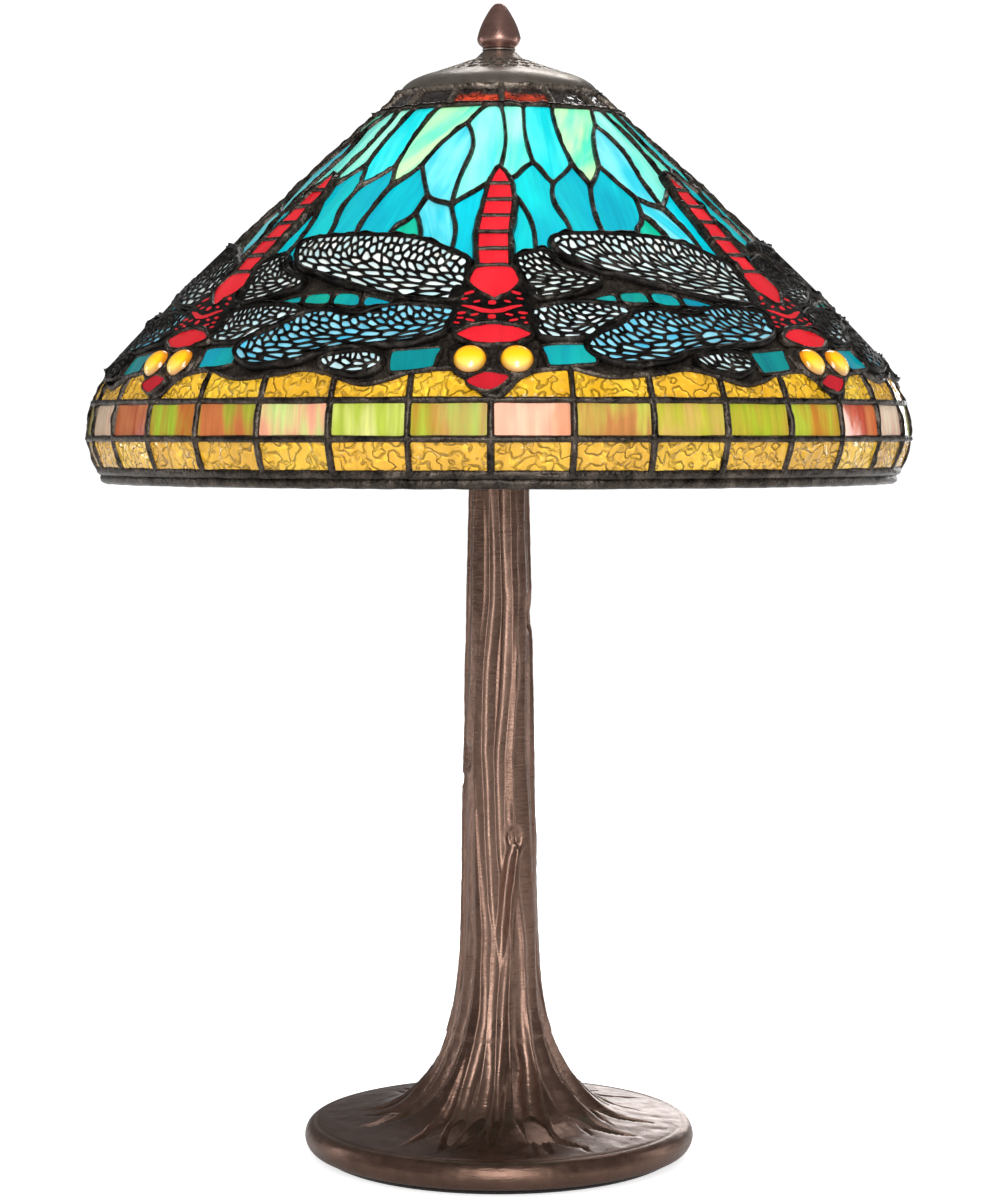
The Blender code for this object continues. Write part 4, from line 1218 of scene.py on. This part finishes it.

# ------------------------------------------------------------------ the shade's objects

# The eyes' amber holds painted light: each jewel is paler towards its bottom, darker towards its rim,
# and gives off a faint painted glow as emission.
g = Graph("amber_jewel")
flow = g.attribute("flow").outputs["Vector"]
parts = g.add("SeparateXYZ", {"Vector": flow})
down, out = parts.outputs[1], parts.outputs[2]
painted_glow = g.ramp(g.scale(down, -1.0, 1.0, 0, 1),
              [(0.0, srgb("#E89400")), (0.3, srgb("#FFB400")), (0.55, srgb("#FFC810")),
               (0.85, srgb("#FFE070")), (1.0, srgb("#FFE890"))])
amber_with_painted_glow = g.mix(g.scale(out, 0.72, 1.0, 0, 1), painted_glow, srgb("#B85C00"))
AMBER_JEWEL = g.finish(Base_Color=amber_with_painted_glow, Roughness=0.06, Coat_Weight=1.0, Coat_Roughness=0.02,
                       Emission_Color=painted_glow, Emission_Strength=0.12, IOR=1.5,
                       Normal=g.bump(g.noise(g.place(), 60.0, 1.0), 0.05, 0.0006))

lead.build("leadwork_background", LEAD, "shade", stands_for=["shade_leadwork"], slot="lead", join=True)
lead_border.build("leadwork_border", LEAD, "shade", slot="lead", join=True)
lead_crown.build("leadwork_crown", PALE_LEAD, "shade", slot="lead", join=True)
lead_inside.build("leadwork_inside", LEAD, "shade", slot="lead", join=True)
field.build("solder_between_wings", LEAD, "shade", slot="lead")
ring_metal.build("leadwork_rings", LEAD, "shade", slot="lead")
sheet.build("background_panes", SHEET_GLASS, "shade", stands_for=["glass_background"],
            slot="turquoise_glass")
streaky.build("streaky_panes", STREAKY_GLASS, "shade", stands_for=["glass_border_middle"],
              slot="streaky_glass")
amber.build("amber_panes", AMBER_GLASS, "shade",
            stands_for=["glass_border_upper", "glass_border_lower"], slot="amber_glass")
ripple.build("crown_panes", RIPPLE_GLASS, "shade", stands_for=["glass_crown_row"],
             slot="brown_glass")
for sector in range(SECTORS):
    name = str(sector + 1)
    filigrees[sector].build("wing_filigree_" + name, FILIGREE, "shade", slot="filigree",
                            stands_for=["wing_filigree"] if sector == 0 else [])
    wing_panes[sector].build("wing_panes_" + name, WING_GLASS, "shade", slot="turquoise_glass",
                             smooth=False)
    bodies[sector][0].build("body_solder_" + name, LEAD, "shade", slot="lead")
    bodies[sector][1].build("body_panes_" + name, RED_GLASS, "shade", slot="red_glass",
                            stands_for=["dragonfly_body_" + name])
    eyes[sector].build("eyes_" + name, AMBER_JEWEL, "shade", slot="amber_glass")


# ------------------------------------------------------------------ metal, bark and fittings


def bronze(name, dark, base, worn, rough=0.36, fine=0.35, wear=0.5, grain=(300, 300, 300)):
    """Brown patina over cast metal, rubbed to copper on its crests."""
    g = Graph(name)
    place = g.place()
    blotch = g.noise(place, 22.0, 4.0, 0.6)
    mottle = g.noise(place, 160.0, 5.0, 0.65)
    tone = g.maths("ADD", g.maths("MULTIPLY", blotch, 0.55), g.maths("MULTIPLY", mottle, 0.45))
    crest = g.add("NewGeometry").outputs["Pointiness"]
    crest = g.scale(crest, 0.5, 0.56, 0, wear)
    height = g.attribute("relief").outputs["Color"]
    colour = g.ramp(tone, [(0.2, srgb(dark)), (0.58, srgb(base))])
    for part, share in ((crest, g.scale(mottle, 0.3, 0.6, 0.4, 1)),
                        (g.scale(height, 0.0, 1.0, 0, 1), wear)):
        colour = g.mix(g.maths("MULTIPLY", part, share, True), colour, srgb(worn))
    grit = g.noise(g.place(grain), 3.0, 4.0, 0.6)
    surface = g.bump(g.noise(place, 90.0, 4.0, 0.6), 0.18, 0.0012)
    surface = g.bump(grit, fine, 0.00035, surface)
    return g.finish(Base_Color=colour, Metallic=0.86, Normal=surface,
                    Roughness=g.scale(mottle, 0.3, 0.7, rough * 0.8, rough * 1.3))


TRUNK_BRONZE = bronze("cast_bronze", "#4E3A31", "#6E5448", "#A88878", 0.32, 0.8, 0.45,
                      (45, 45, 250))
CAP_BRONZE = bronze("spun_bronze", "#70665E", "#968C82", "#A89C92", 0.34, 0.15, 0.2)
FINIAL_BRONZE = bronze("turned_bronze", "#785850", "#A47E74", "#B08E86", 0.3, 0.12, 0.1)


def metal(name, dark, bright, rough, scale=260.0, bump=0.1, metallic=1.0):
    """Turned or stamped metal with soft stains and fine scratches."""
    g = Graph(name)
    place = g.place()
    stain = g.noise(place, scale * 0.3, 4.0, 0.6)
    scratch = g.noise(g.place((1, 1, 9)), scale * 3, 3.0, 0.6)
    colour = g.mix(g.scale(stain, 0.35, 0.65, 0, 1), srgb(dark), srgb(bright))
    return g.finish(Base_Color=colour, Metallic=metallic,
                    Roughness=g.scale(scratch, 0.3, 0.7, rough * 0.7, rough * 1.4),
                    Normal=g.bump(scratch, bump, 0.0003))


BRASS = metal("brass", "#8C6A34", "#D8B66C", 0.28)
STEEL = metal("steel", "#7C7C7C", "#B8B8B8", 0.32)
IRON = metal("black_iron", "#1C1B1A", "#3A3835", 0.6, 120.0, 0.4, 0.8)
PLASTIC = metal("brown_plastic", "#2A1B14", "#3C281E", 0.42, 200.0, 0.06, 0.0)
PORCELAIN = metal("porcelain", "#D8D2C4", "#F0ECE2", 0.22, 60.0, 0.02, 0.0)

g = Graph("felt")
fibres = g.noise(g.place((1, 1, 4)), 1400.0, 5.0, 0.7)
wool = g.mix(g.scale(fibres, 0.3, 0.7, 0, 1), srgb("#1A1512"), srgb("#2E2620"))
FELT = g.finish(Base_Color=wool, Roughness=0.95, Sheen_Weight=0.6,
                Normal=g.bump(fibres, 0.6, 0.0006))

g = Graph("frosted_bulb_glass")
frost = g.noise(g.place(), 500.0, 3.0)
BULB_GLASS = g.finish(Base_Color=g.mix(g.scale(frost, 0.3, 0.7, 0, 1), srgb("#E8E6DE"),
                                       srgb("#FBFAF4")),
                      Roughness=g.scale(frost, 0.3, 0.7, 0.25, 0.45), Coat_Weight=0.4,
                      Subsurface_Weight=0.25, Normal=g.bump(frost, 0.05, 0.0003))


LOOKS = {
    "iron": IRON, "steel": STEEL, "brass": BRASS, "brown_plastic": PLASTIC, "lead": LEAD,
    "bronze": CAP_BRONZE, "finial_bronze": FINIAL_BRONZE, "patina_metal": LEAD, "felt": FELT,
    "porcelain": PORCELAIN, "bulb_glass": BULB_GLASS,
}


def lathe(name, profile, segments, slot, body, node, centre=(0, 0, 0), axis="Z", closed=False,
          sharp=35):
    """A turned piece in the look of its slot, shown in place of one node."""
    points, faces = turned(profile, segments, centre, axis, closed)
    return make(name, points, faces, LOOKS[slot], body, [node], slot, sharp=sharp,
                recalculate=True)


# The finial: a turned egg on a short neck.
FINIAL = smooth_line([(AXIS, 573.3), (1.6, 573.0), (3.0, 572.0), (4.4, 570.3), (6.1, 567.6),
                      (7.6, 564.9), (8.9, 562.1), (9.9, 559.4), (10.6, 556.9), (10.9, 555.2),
                      (10.6, 553.7), (9.7, 552.3), (8.6, 551.4), (8.3, 550.9)], 0.35)
FINIAL = np.vstack([FINIAL, [(8.0, 550.6), (5.7, 550.6), (5.7, 556.6), (AXIS, 556.8)]])
lathe("finial_turned", FINIAL, 160, "finial_bronze", "finial", "finial")
lathe("finial_ring", [(5.7, 549.35), (8.0, 549.3), (8.35, 549.55), (8.4, 549.85), (8.25, 550.15),
                      (7.9, 550.3), (5.7, 550.3)], 96, "bronze", "finial_seat",
      "finial_washer", closed=True)

# The vented cap: a spun cone with pierced eyelets, a rolled ledge and a flared lip.
CAP_LINE = smooth_line([(12.0, 545.4), (14.5, 544.4), (18.0, 543.0), (25.5, 540.3), (33.0, 537.7),
                        (35.0, 536.9)], 0.5)
CAP_LIP = smooth_line([(35.0, 536.9), (36.2, 536.9), (37.4, 536.6), (40.5, 535.4), (44.2, 533.6),
                       (47.2, 531.4), (49.0, 529.2), (49.6, 527.95)], 0.5)
CAP_TOP = [(5.6, 548.9), (7.9, 549.0), (8.3, 548.8), (9.4, 547.8), (10.8, 546.4)]
WALL = 0.9  # thickness of the cap's sheet


cone = Turned(CAP_LINE)
cap = Batch()
EYELET_ROWS, EYELET_COLUMNS = 3, 28
BAND_START, BAND_END = 3.0, cone.s[-1] - 2.0
ROW_HEIGHT = (BAND_END - BAND_START) / EYELET_ROWS


def cap_strip(rows):
    """A strip of the cap from full circles of points, each lower than the last."""
    cap.add(np.concatenate(rows), [f[::-1] for f in grid_faces(len(rows), len(ROUND))])


ROUND = np.linspace(0, 2 * math.pi, 192, endpoint=False)
smooth_top = [round_axis(r, z, ROUND) for r, z in [(5.6, 546.6)] + CAP_TOP]
smooth_top += [cone.at(ROUND, s) for s in np.linspace(0, BAND_START, 12)]
cap_strip(smooth_top)
lip_surface = Turned(CAP_LIP)
lip = [cone.at(ROUND, s) for s in np.linspace(BAND_END, cone.s[-1], 4)]
lip += [lip_surface.at(ROUND, s) for s in lip_surface.s]
lip += [lip_surface.at(ROUND, s, -WALL) for s in lip_surface.s[::-1]]
cap_strip(lip)
LENS = np.linspace(0, 2 * math.pi, 28, endpoint=False)  # directions round one eyelet
for row in range(EYELET_ROWS):
    middle = BAND_START + ROW_HEIGHT * (row + 0.5)
    r = cone.radius(middle)
    half_x = math.pi * r / EYELET_COLUMNS
    half_y = ROW_HEIGHT / 2
    a, b = half_x * 0.74, half_y * 0.72
    c, s = np.cos(LENS), np.sin(LENS)
    bend = b * c * c / (a * a)
    hole = np.where(bend > 1e-4, (np.sqrt(s * s + 4 * b * bend) - np.abs(s)) / (2 * bend + 1e-9),
                    b / np.maximum(np.abs(s), 1e-3))
    box_edge = np.minimum(half_x / np.maximum(np.abs(c), 1e-6), half_y / np.maximum(np.abs(s), 1e-6))
    for column in range(EYELET_COLUMNS):
        turn = 2 * math.pi * (column + 0.5 * (row % 2)) / EYELET_COLUMNS
        loops = []
        for share, lift in ((0, 0), (0.5, 0.05), (0.85, 0.25), (1.0, 0.1), (1.02, -WALL)):
            rho = box_edge + (hole - box_edge) * share
            loops.append(cone.at(turn + rho * c / r, middle + rho * s, lift))
        cap.add(np.concatenate(loops), ring_faces(len(loops), len(LENS)))
cap.build("cap_pierced", CAP_BRONZE, "cap", stands_for=["vented_cap"], slot="bronze", join=True,
          sharp=38)

# ------------------------------------------------------------------ the cast tree

TREE_LINE = smooth_line([
    (90.8, 2.7), (93.8, 3.8), (95.8, 6.2), (96.7, 9.4), (96.2, 12.4), (94.9, 14.8), (93.0, 16.2),
    (91.8, 16.5), (90.8, 16.1), (89.8, 16.6), (86.0, 17.2), (78.0, 18.0), (69.0, 19.0), (60.0, 20.8),
    (52.0, 24.2), (45.0, 29.6), (39.0, 36.5), (34.0, 43.6), (29.5, 51.8), (26.0, 60.5), (23.2, 70.5),
    (21.2, 82), (19.8, 97), (19.0, 120), (18.3, 150), (17.7, 180), (17.1, 215), (16.4, 250),
    (15.6, 290), (14.9, 330), (14.5, 371.8),
], 1.2)
TREE_COLUMNS = 360
tree = Turned(TREE_LINE)
keep = [0]  # the rows of the casting: close on its foot and its edge, wider up the trunk
for k in range(1, len(TREE_LINE)):
    spacing = 0.8 if TREE_LINE[k][0] > 88 else 1.15 if TREE_LINE[k][1] < 75 else 1.75
    if tree.s[k] - tree.s[keep[-1]] >= spacing:
        keep.append(k)
tree_s = tree.s[keep]
tree_r = tree.curve[keep, 0][:, None]
tree_z = tree.curve[keep, 1][:, None]
tree_angle = np.linspace(0, 360, TREE_COLUMNS, endpoint=False)[None]
UP = tree_z > 15  # the rows above the edge of the disc, which is smooth
BARK_TURN = np.interp(tree_z, [20, 60, 110, 160, 200, 245, 275, 310, 372],
                      [0, 2, 6, -4, -9, -2, 5, 2, -4])


def wrapped(angle):
    return (angle + 180) % 360 - 180


def ridge(centre, half_width, height, power=1.2, skew=0.0):
    """A long rounded ridge: its centre angle, half width in millimetres and height for each row."""
    x = wrapped(tree_angle - centre) * np.radians(1) * tree_r / np.maximum(half_width, 0.05)
    x = x + skew * (1 - x * x) * (np.abs(x) < 1)
    return height * np.clip(1 - x * x, 0, 1) ** power


bark = np.random.default_rng(11)
relief = np.zeros((len(keep), TREE_COLUMNS))


def wander(amount, size, seed):
    """Degrees that a strand strays to either side, row by row down the trunk."""
    row = np.stack([tree_z[:, 0], np.full(len(keep), seed * 9.7), np.zeros(len(keep))], axis=1)
    return amount * noise(row, size)[:, None]


def root(start, tip, wide, tall, sway, taper, lean, low_fade=1.0):
    """A strand of bark that runs down the trunk and out over the disc to a pointed tip."""
    crook = np.clip((tree_r - 34) / 45, 0, 1) ** 1.5
    centre = start + BARK_TURN + sway * crook + wander(9, 75.0, start) + wander(3, 24.0, start + 5)
    left = np.clip((tip - tree_r) / taper, 0, 1)
    half = wide * np.interp(tree_r, [14, 20, 26, 36, 50, 64], [1.0, 1.1, 1.3, 1.7, 1.9, 1.6])
    height = tall * np.interp(tree_r, [14, 18, 24, 34, 48, 66], [0.6, 0.8, 1.5, 2.6, 3.3, 3.0])
    return ridge(centre, half * left + 0.05, height * left ** 0.7 * low_fade, 0.85, lean)


STRANDS = 14
for k in range(STRANDS):
    start = 360 / STRANDS * (k + 0.35 * bark.uniform(-1, 1))
    relief = np.maximum(relief, root(start, bark.uniform(70, 89), bark.uniform(3.0, 5.2),
                                     bark.uniform(1.1, 1.9), bark.uniform(-13, 13),
                                     bark.uniform(32, 46), bark.uniform(-0.45, 0.45)))
# The three roots that run out over the front of the disc.
for start, tip, wide, tall, sway in (
        (-17, 80, 4.0, 1.9, -10), (1, 76, 3.0, 1.8, 3), (17, 88, 4.2, 2.0, 16)):
    relief = np.maximum(relief, root(start, tip, wide, tall, sway, 38, -0.3,
                                     np.clip((230 - tree_z) / 60, 0, 1)))
ROOTLETS = 17
for k in range(ROOTLETS):
    start = 360 / ROOTLETS * (k + 0.4 * bark.uniform(-1, 1))
    top = bark.uniform(60, 150)
    relief = np.maximum(relief, root(start, bark.uniform(56, 86), bark.uniform(1.5, 2.6),
                                     bark.uniform(0.9, 1.45), bark.uniform(-16, 16),
                                     bark.uniform(26, 40), bark.uniform(-0.45, 0.45),
                                     np.clip((top - tree_z) / 40, 0, 1)))
# Long narrow cords that lie over the strands on the upper trunk.
for start, width, height, low, high in (
        (-11, 4.2, 2.3, 95, 350), (12, 3.8, 2.1, 120, 372), (74, 1.8, 2.0, 60, 362),
        (-72, 1.9, 2.0, 60, 372), (120, 3.2, 1.9, 60, 350), (-130, 3.4, 1.9, 70, 340)):
    fade = np.clip((tree_z - low) / 30, 0, 1) * np.clip((high - tree_z) / 40, 0, 1)
    cord = ridge(start + BARK_TURN + wander(6, 60.0, start), width * (0.4 + 0.6 * fade),
                 (height + 0.5) * fade, 0.8, 0.3)
    relief = np.maximum(relief, cord)


def knot(angle, height, across, tall, proud, ring=0.5, tilt=0.0):
    """A healed branch: a raised oval with a rolled ring round a sunk face."""
    x = wrapped(tree_angle - angle) * np.radians(1) * tree_r
    y = tree_z - height
    c, s = math.cos(math.radians(tilt)), math.sin(math.radians(tilt))
    d = np.hypot((c * x + s * y) / across, (-s * x + c * y) / tall)
    mound = proud * np.exp(-np.clip(d - 0.55, 0, None) ** 2 / 0.18)
    face = -ring * proud * np.exp(-(d / 0.42) ** 2) + 0.2 * proud * np.exp(-(d / 0.16) ** 2)
    return mound + face * (d < 1.3)


relief = relief + knot(80, 269, 4.6, 8.5, 3.6, 0.55) + knot(-66, 198, 3.4, 5.6, 2.6, 0.6)
relief = relief + knot(-88, 186, 1.5, 1.9, 2.0, 0.0)
diagonal = np.interp(tree_z, [92, 112, 130, 146, 157], [-4, 0, 5, 12, 20])
fade = np.clip((tree_z - 88) / 26, 0, 1) * np.clip((160 - tree_z) / 8, 0, 1)
relief = relief - ridge(diagonal + 15, 3.4, 1.5 * fade, 1.0)
relief = np.maximum(relief, ridge(diagonal, 4.4, 3.6 * fade, 0.9, -0.4))
relief = relief * (1 - 0.7 * ridge(26, 5.0, np.exp(-((tree_z - 158) / 6) ** 2), 1.0))
relief = relief + knot(26, 158, 4.3, 4.8, 4.2, 0.65, 20)
hand = round_axis(tree_r, tree_z, np.radians(tree_angle))
crest_share = np.clip(relief / np.interp(tree_r, [15, 20, 30, 50, 90], [1.9, 2.2, 3.8, 4.6, 2.5]), 0, 1)
relief = relief + 0.28 * noise(hand * [1, 1, 0.35], 6.0, 21) * (tree_z > 17)
relief = relief + 0.16 * noise(hand * [1, 1, 2.2], 3.2, 22) * (tree_r < 60)
relief = relief * UP
points = tree.at(np.radians(tree_angle) + 0 * tree_z, np.repeat(tree_s[:, None], TREE_COLUMNS, 1),
                 relief - 0.5 * (tree_z > 60))
TRUNK_MOUTH = [(13.6, 372.0), (10.6, 372.0), (10.6, 340.0)]
UNDERSIDE = [(5.6, 38.2), (22, 38.2), (30, 29.5), (66, 16.2), (85, 11.5), (86.4, 2.9), (87.2, 2.6)]
under = [round_axis(r, z, np.radians(tree_angle[0])) for r, z in UNDERSIDE]
over = [round_axis(r, z, np.radians(tree_angle[0])) for r, z in TRUNK_MOUTH]
every = np.concatenate([*under, points.reshape(-1, 3), *over])
worn = np.concatenate([np.zeros((len(under), TREE_COLUMNS)), crest_share * UP,
                       np.zeros((len(over), TREE_COLUMNS))]).reshape(-1)
make("tree_casting", every, grid_faces(len(every) // TREE_COLUMNS, TREE_COLUMNS), TRUNK_BRONZE,
     "stand", ["tree_base_casting"], "bronze",
     attributes={"relief": np.stack([worn, worn, worn, np.ones_like(worn)], axis=1)})


# ------------------------------------------------------------------ fittings

lathe("ballast_casting", [(18.2, 11.7), (60, 11.7), (63.6, 12.4), (63.8, 13.4), (56, 16.4),
                          (40, 21.5), (30, 25), (19.4, 25.6), (18.2, 24.6)], 72, "iron", "stand",
      "base_ballast", closed=True)
lathe("felt_disc", [(1.0, 0.02), (86.6, 0.0), (87.7, 0.5), (88.0, 1.2), (87.6, 2.1), (1.0, 2.2)], 180,
      "felt", "stand", "felt_pad", closed=True)
points, faces = turned([(190.6, 336.6), (191.2, 334.8), (193, 333.9), (195.4, 333.9), (197.0, 334.9),
                        (197.6, 336.6), (197.2, 338.3), (195.0, 338.9), (191.6, 338.4)], 720,
                       closed=True)
points = points + (0.3 * noise(points, 7.0, 6))[:, None] * [0, 0, 1]
make("rim_wire_soldered", points, faces, LEAD, "shade", ["shade_rim_wire"], "lead", recalculate=True)


BEAD_PITCH = 3.5
BEAD_RADIUS = 1.6
BEAD_NECK = 0.45


def bead_run(top, beads, steps=7):
    """Balls on a thin link, hanging from a height, as a closed profile from the top down."""
    profile = []
    for k in range(beads):
        centre = top - BEAD_RADIUS - k * BEAD_PITCH
        for step in range(steps):
            angle = math.pi * (step + 0.35) / (steps - 0.3)
            profile.append((max(BEAD_RADIUS * math.sin(angle), BEAD_NECK),
                            centre + BEAD_RADIUS * math.cos(angle)))
    return [(AXIS, profile[0][1] + 0.1), *profile, (AXIS, profile[-1][1] - 0.1)]


for side_name, side in (("left", -1), ("right", 1)):
    axis = "X" if side > 0 else "-X"
    hub = (0, 0, 408)

    def along(name, profile, segments, slot, body, node, closed=True):
        return lathe(name, profile, segments, slot, body, node, hub, axis, closed)

    shell_profile = [(16.3, 33.4), (17.3, 33.3), (17.5, 33.6), (17.5, 38), (17.9, 38.6), (17.9, 40.2),
                     (17.5, 40.8), (17.5, 60), (17.8, 60.6), (17.5, 61.2), (17.5, 67.6), (18.0, 68.4),
                     (18.4, 69.4), (18.2, 70), (17.4, 69.9), (17.0, 69.0), (16.4, 68), (16.3, 67)]
    along("socket_barrel_" + side_name, shell_profile, 72, "brass", "stand",
          "socket_shell_" + side_name)
    along("socket_cap_spun_" + side_name,
          [(AXIS, 16.95), (5.3, 16.95), (5.5, 17.4), (5.5, 20.8), (7.5, 22.2), (12, 24), (15.6, 27.2),
           (17.2, 30), (17.5, 31.6), (17.5, 33.0), (AXIS, 33.0)], 72, "brass", "stand",
          "socket_cap_" + side_name, closed=False)
    along("socket_core_pressed_" + side_name,
          [(AXIS, 33.7), (15.6, 33.7), (15.9, 34.2), (15.9, 43.2), (15.3, 43.95), (9.0, 43.95),
           (8.4, 43.0), (AXIS, 43.0)], 48, "porcelain", "stand", "socket_core_" + side_name,
          closed=False)
    thread = []
    for k in range(60):
        thread.append((14.75 + 0.4 * math.cos(k * math.pi / 4), 44.4 + k * 22.5 / 59))
    thread += [(14.15, 66.9), (14.15, 44.4)]
    along("socket_thread_" + side_name, thread, 48, "brass", "stand",
          "socket_screw_shell_" + side_name)
    along("bulb_button_" + side_name,
          [(AXIS, 44.5), (2.6, 44.55), (3.9, 44.95), (4.6, 45.6), (4.6, 46.2), (AXIS, 46.2)], 32,
          "steel", "bulb_carrier_" + side_name, "bulb_contact_" + side_name, closed=False)
    screw = [(AXIS, 46.5), (5.8, 46.5), (8.5, 47.4), (11.6, 49), (12.6, 50.2)]
    for k in range(44):
        screw.append((13.0 + 0.38 * math.cos(k * math.pi / 4), 51 + k * 17.6 / 43))
    screw += [(12.6, 69.4), (11.4, 70.8), (11.0, 72.0), (AXIS, 72.0)]
    along("bulb_screw_" + side_name, screw, 48, "brass", "bulb_" + side_name,
          "bulb_base_" + side_name, closed=False)
    envelope = smooth_line([(11.3, 72.3), (11.7, 74.5), (14, 80), (17.5, 87), (20.8, 94), (23.2, 101),
                            (23.8, 106.5), (23.2, 113), (21.4, 120), (18.2, 126.4), (13.8, 131.6),
                            (8.4, 135.3), (3.2, 136.8), (AXIS, 137)], 1.2)
    along("bulb_envelope_" + side_name, envelope, 64, "bulb_glass", "bulb_" + side_name,
          "bulb_glass_" + side_name, closed=False)
    reach_x = (side * 46.0, 0, 0)
    lathe("chain_guide_turned_" + side_name,
          [(2.3, 383.6), (3.2, 383.5), (3.7, 384.0), (3.6, 384.6), (3.3, 385), (3.3, 389.2),
           (3.6, 389.8), (3.3, 390.1), (2.3, 390.1)], 40, "brass", "stand",
          "chain_guide_" + side_name, reach_x, closed=True)
    for name, top, beads, body in (("pull_link_", 389.5, 3, "pull_switch_"),
                                   ("pull_chain_", 378.9, 7, "pull_")):
        lathe(name + "beads_" + side_name, bead_run(top, beads), 20, "brass", body + side_name,
              name + side_name, reach_x, sharp=60)
    knob = smooth_line([(AXIS, 342.5), (1.8, 342.5), (3.4, 343.1), (4.2, 344.6), (4.1, 346.3),
                        (3.1, 347.8), (2.2, 349.6), (2.0, 350.4), (2.3, 350.9), (2.2, 351.4),
                        (1.6, 351.9), (1.5, 353.9), (1.2, 354.2), (AXIS, 354.2)], 0.3)
    lathe("pull_knob_turned_" + side_name, knob, 40, "brass", "pull_" + side_name,
          "pull_knob_" + side_name, reach_x)

lathe("cluster_spun", smooth_line([(5.5, 390), (8.6, 390), (9.4, 390.5), (11, 392), (13.9, 394.9),
                                   (15.8, 397.6), (16.5, 400.4), (16.5, 404), (16.5, 412),
                                   (16.5, 415.6), (15.8, 418.4), (13.9, 421.1), (11, 424),
                                   (9.4, 425.5), (8.6, 426), (5.5, 426)], 0.8), 72, "brass", "stand",
      "cluster_body", closed=True)
pipe_profile = [(3.6, 20.1)]
for k in range(268):
    pipe_profile.append((4.85 + 0.15 * (1 if k % 2 else -1), 20 + k * 2.0))
pipe_profile += [(4.8, 556.0), (3.6, 556.0)]
lathe("threaded_pipe", pipe_profile, 28, "brass", "stand", "lamp_pipe", closed=True)

for node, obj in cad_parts.items():
    slots = [m.name for m in obj.data.materials if m]
    chosen = next((look for slot, look in LOOKS.items() if slots and slots[0].startswith(slot)),
                  STEEL)
    # The top ring and spider get black iron in place of their own metal: painted shade, so that no
    # metal shines under the cap's lip.
    if node in ("shade_top_ring", "shade_spider"):
        chosen = IRON
    obj.data.materials.clear()
    obj.data.materials.append(chosen)

# ------------------------------------------------------------------ setting

floor_mesh = bpy.data.meshes.new("floor")
floor_mesh.from_pydata([(-6, -6, 0), (6, -6, 0), (6, 9, 0), (-6, 9, 0)], [], [(0, 1, 2, 3)])
g = Graph("pale_floor")
seen = g.add("LightPath").outputs["Is Camera Ray"]
floor_mesh.materials.append(g.finish(Base_Color=(0.85, 0.85, 0.85, 1), Roughness=0.7,
                                     Emission_Color=(1, 1, 1, 1),
                                     Emission_Strength=g.maths("MULTIPLY", seen, 0.7)))
floor = bpy.data.objects.new("floor", floor_mesh)
bpy.context.scene.collection.objects.link(floor)

world = bpy.data.worlds.new("studio")
bpy.context.scene.world = world
world.use_nodes = True
tree_nodes = world.node_tree
tree_nodes.nodes.clear()


def world_node(kind, inputs=None, **settings):
    node = tree_nodes.nodes.new("ShaderNode" + kind)
    for key, value in settings.items():
        setattr(node, key, value)
    for key, value in (inputs or {}).items():
        if isinstance(value, bpy.types.NodeSocket):
            tree_nodes.links.new(value, node.inputs[key])
        else:
            node.inputs[key].default_value = value
    return node


rays = world_node("LightPath")
glossy = world_node("MapRange", {"Value": rays.outputs["Is Glossy Ray"], "To Min": 0.5, "To Max": 0.16})
strength = world_node("Math", {0: rays.outputs["Is Camera Ray"], 1: 0.6}, operation="MULTIPLY_ADD")
tree_nodes.links.new(glossy.outputs["Result"], strength.inputs[2])
background = world_node("Background", {"Color": (1, 1, 1, 1), "Strength": strength.outputs[0]})
world_node("OutputWorld", {"Surface": background.outputs[0]})


def softbox(name, place, target, width, height, power, mirrored=True, spread=True):
    data = bpy.data.lights.new(name, "AREA")
    data.shape = "RECTANGLE"
    data.size, data.size_y, data.energy = width, height, power
    light = bpy.data.objects.new(name, data)
    light.location = place
    light.rotation_euler = (Vector(target) - Vector(place)).to_track_quat("-Z", "Y").to_euler()
    light.visible_glossy = mirrored
    light.visible_diffuse = spread
    bpy.context.scene.collection.objects.link(light)


softbox("key", (-0.9, -1.7, 1.5), (0, 0, 0.38), 1.2, 1.2, 9, mirrored=False)
softbox("front", (0.1, -2.2, 0.92), (0, 0, 0.3), 0.6, 1.8, 20)
softbox("front_sheen", (0.05, -2.25, 0.82), (0, 0, 0.3), 1.3, 1.6, 17, spread=False)
softbox("left_edge", (-1.4, 0.45, 0.3), (0, 0, 0.2), 0.12, 0.9, 2.6)
softbox("right_edge", (1.4, 0.45, 0.3), (0, 0, 0.2), 0.12, 0.9, 2.6)
softbox("over", (0.3, -0.2, 1.9), (0, 0, 0.4), 1.0, 1.0, 15, mirrored=False)
softbox("high_back", (0.2, 1.1, 1.5), (0, 0, 0.4), 0.9, 0.3, 5)
softbox("low_back", (0.6, 2.2, 0.5), (0, 0, 0.1), 1.1, 0.6, 9)
softbox("back", (0.4, 1.9, 1.2), (0, 0, 0.35), 1.0, 1.0, 8, mirrored=False)

camera_data = bpy.data.cameras.new("camera")
camera = bpy.data.objects.new("camera", camera_data)
bpy.context.scene.collection.objects.link(camera)
camera_data.lens = 90
camera_data.sensor_width = 36
camera_data.shift_y = -0.1383
camera.location = (0.0005, -1.499, 0.358)
camera.rotation_euler = (math.radians(90), 0, 0)
bpy.context.scene.camera = camera
bpy.context.scene.view_settings.view_transform = "Standard"
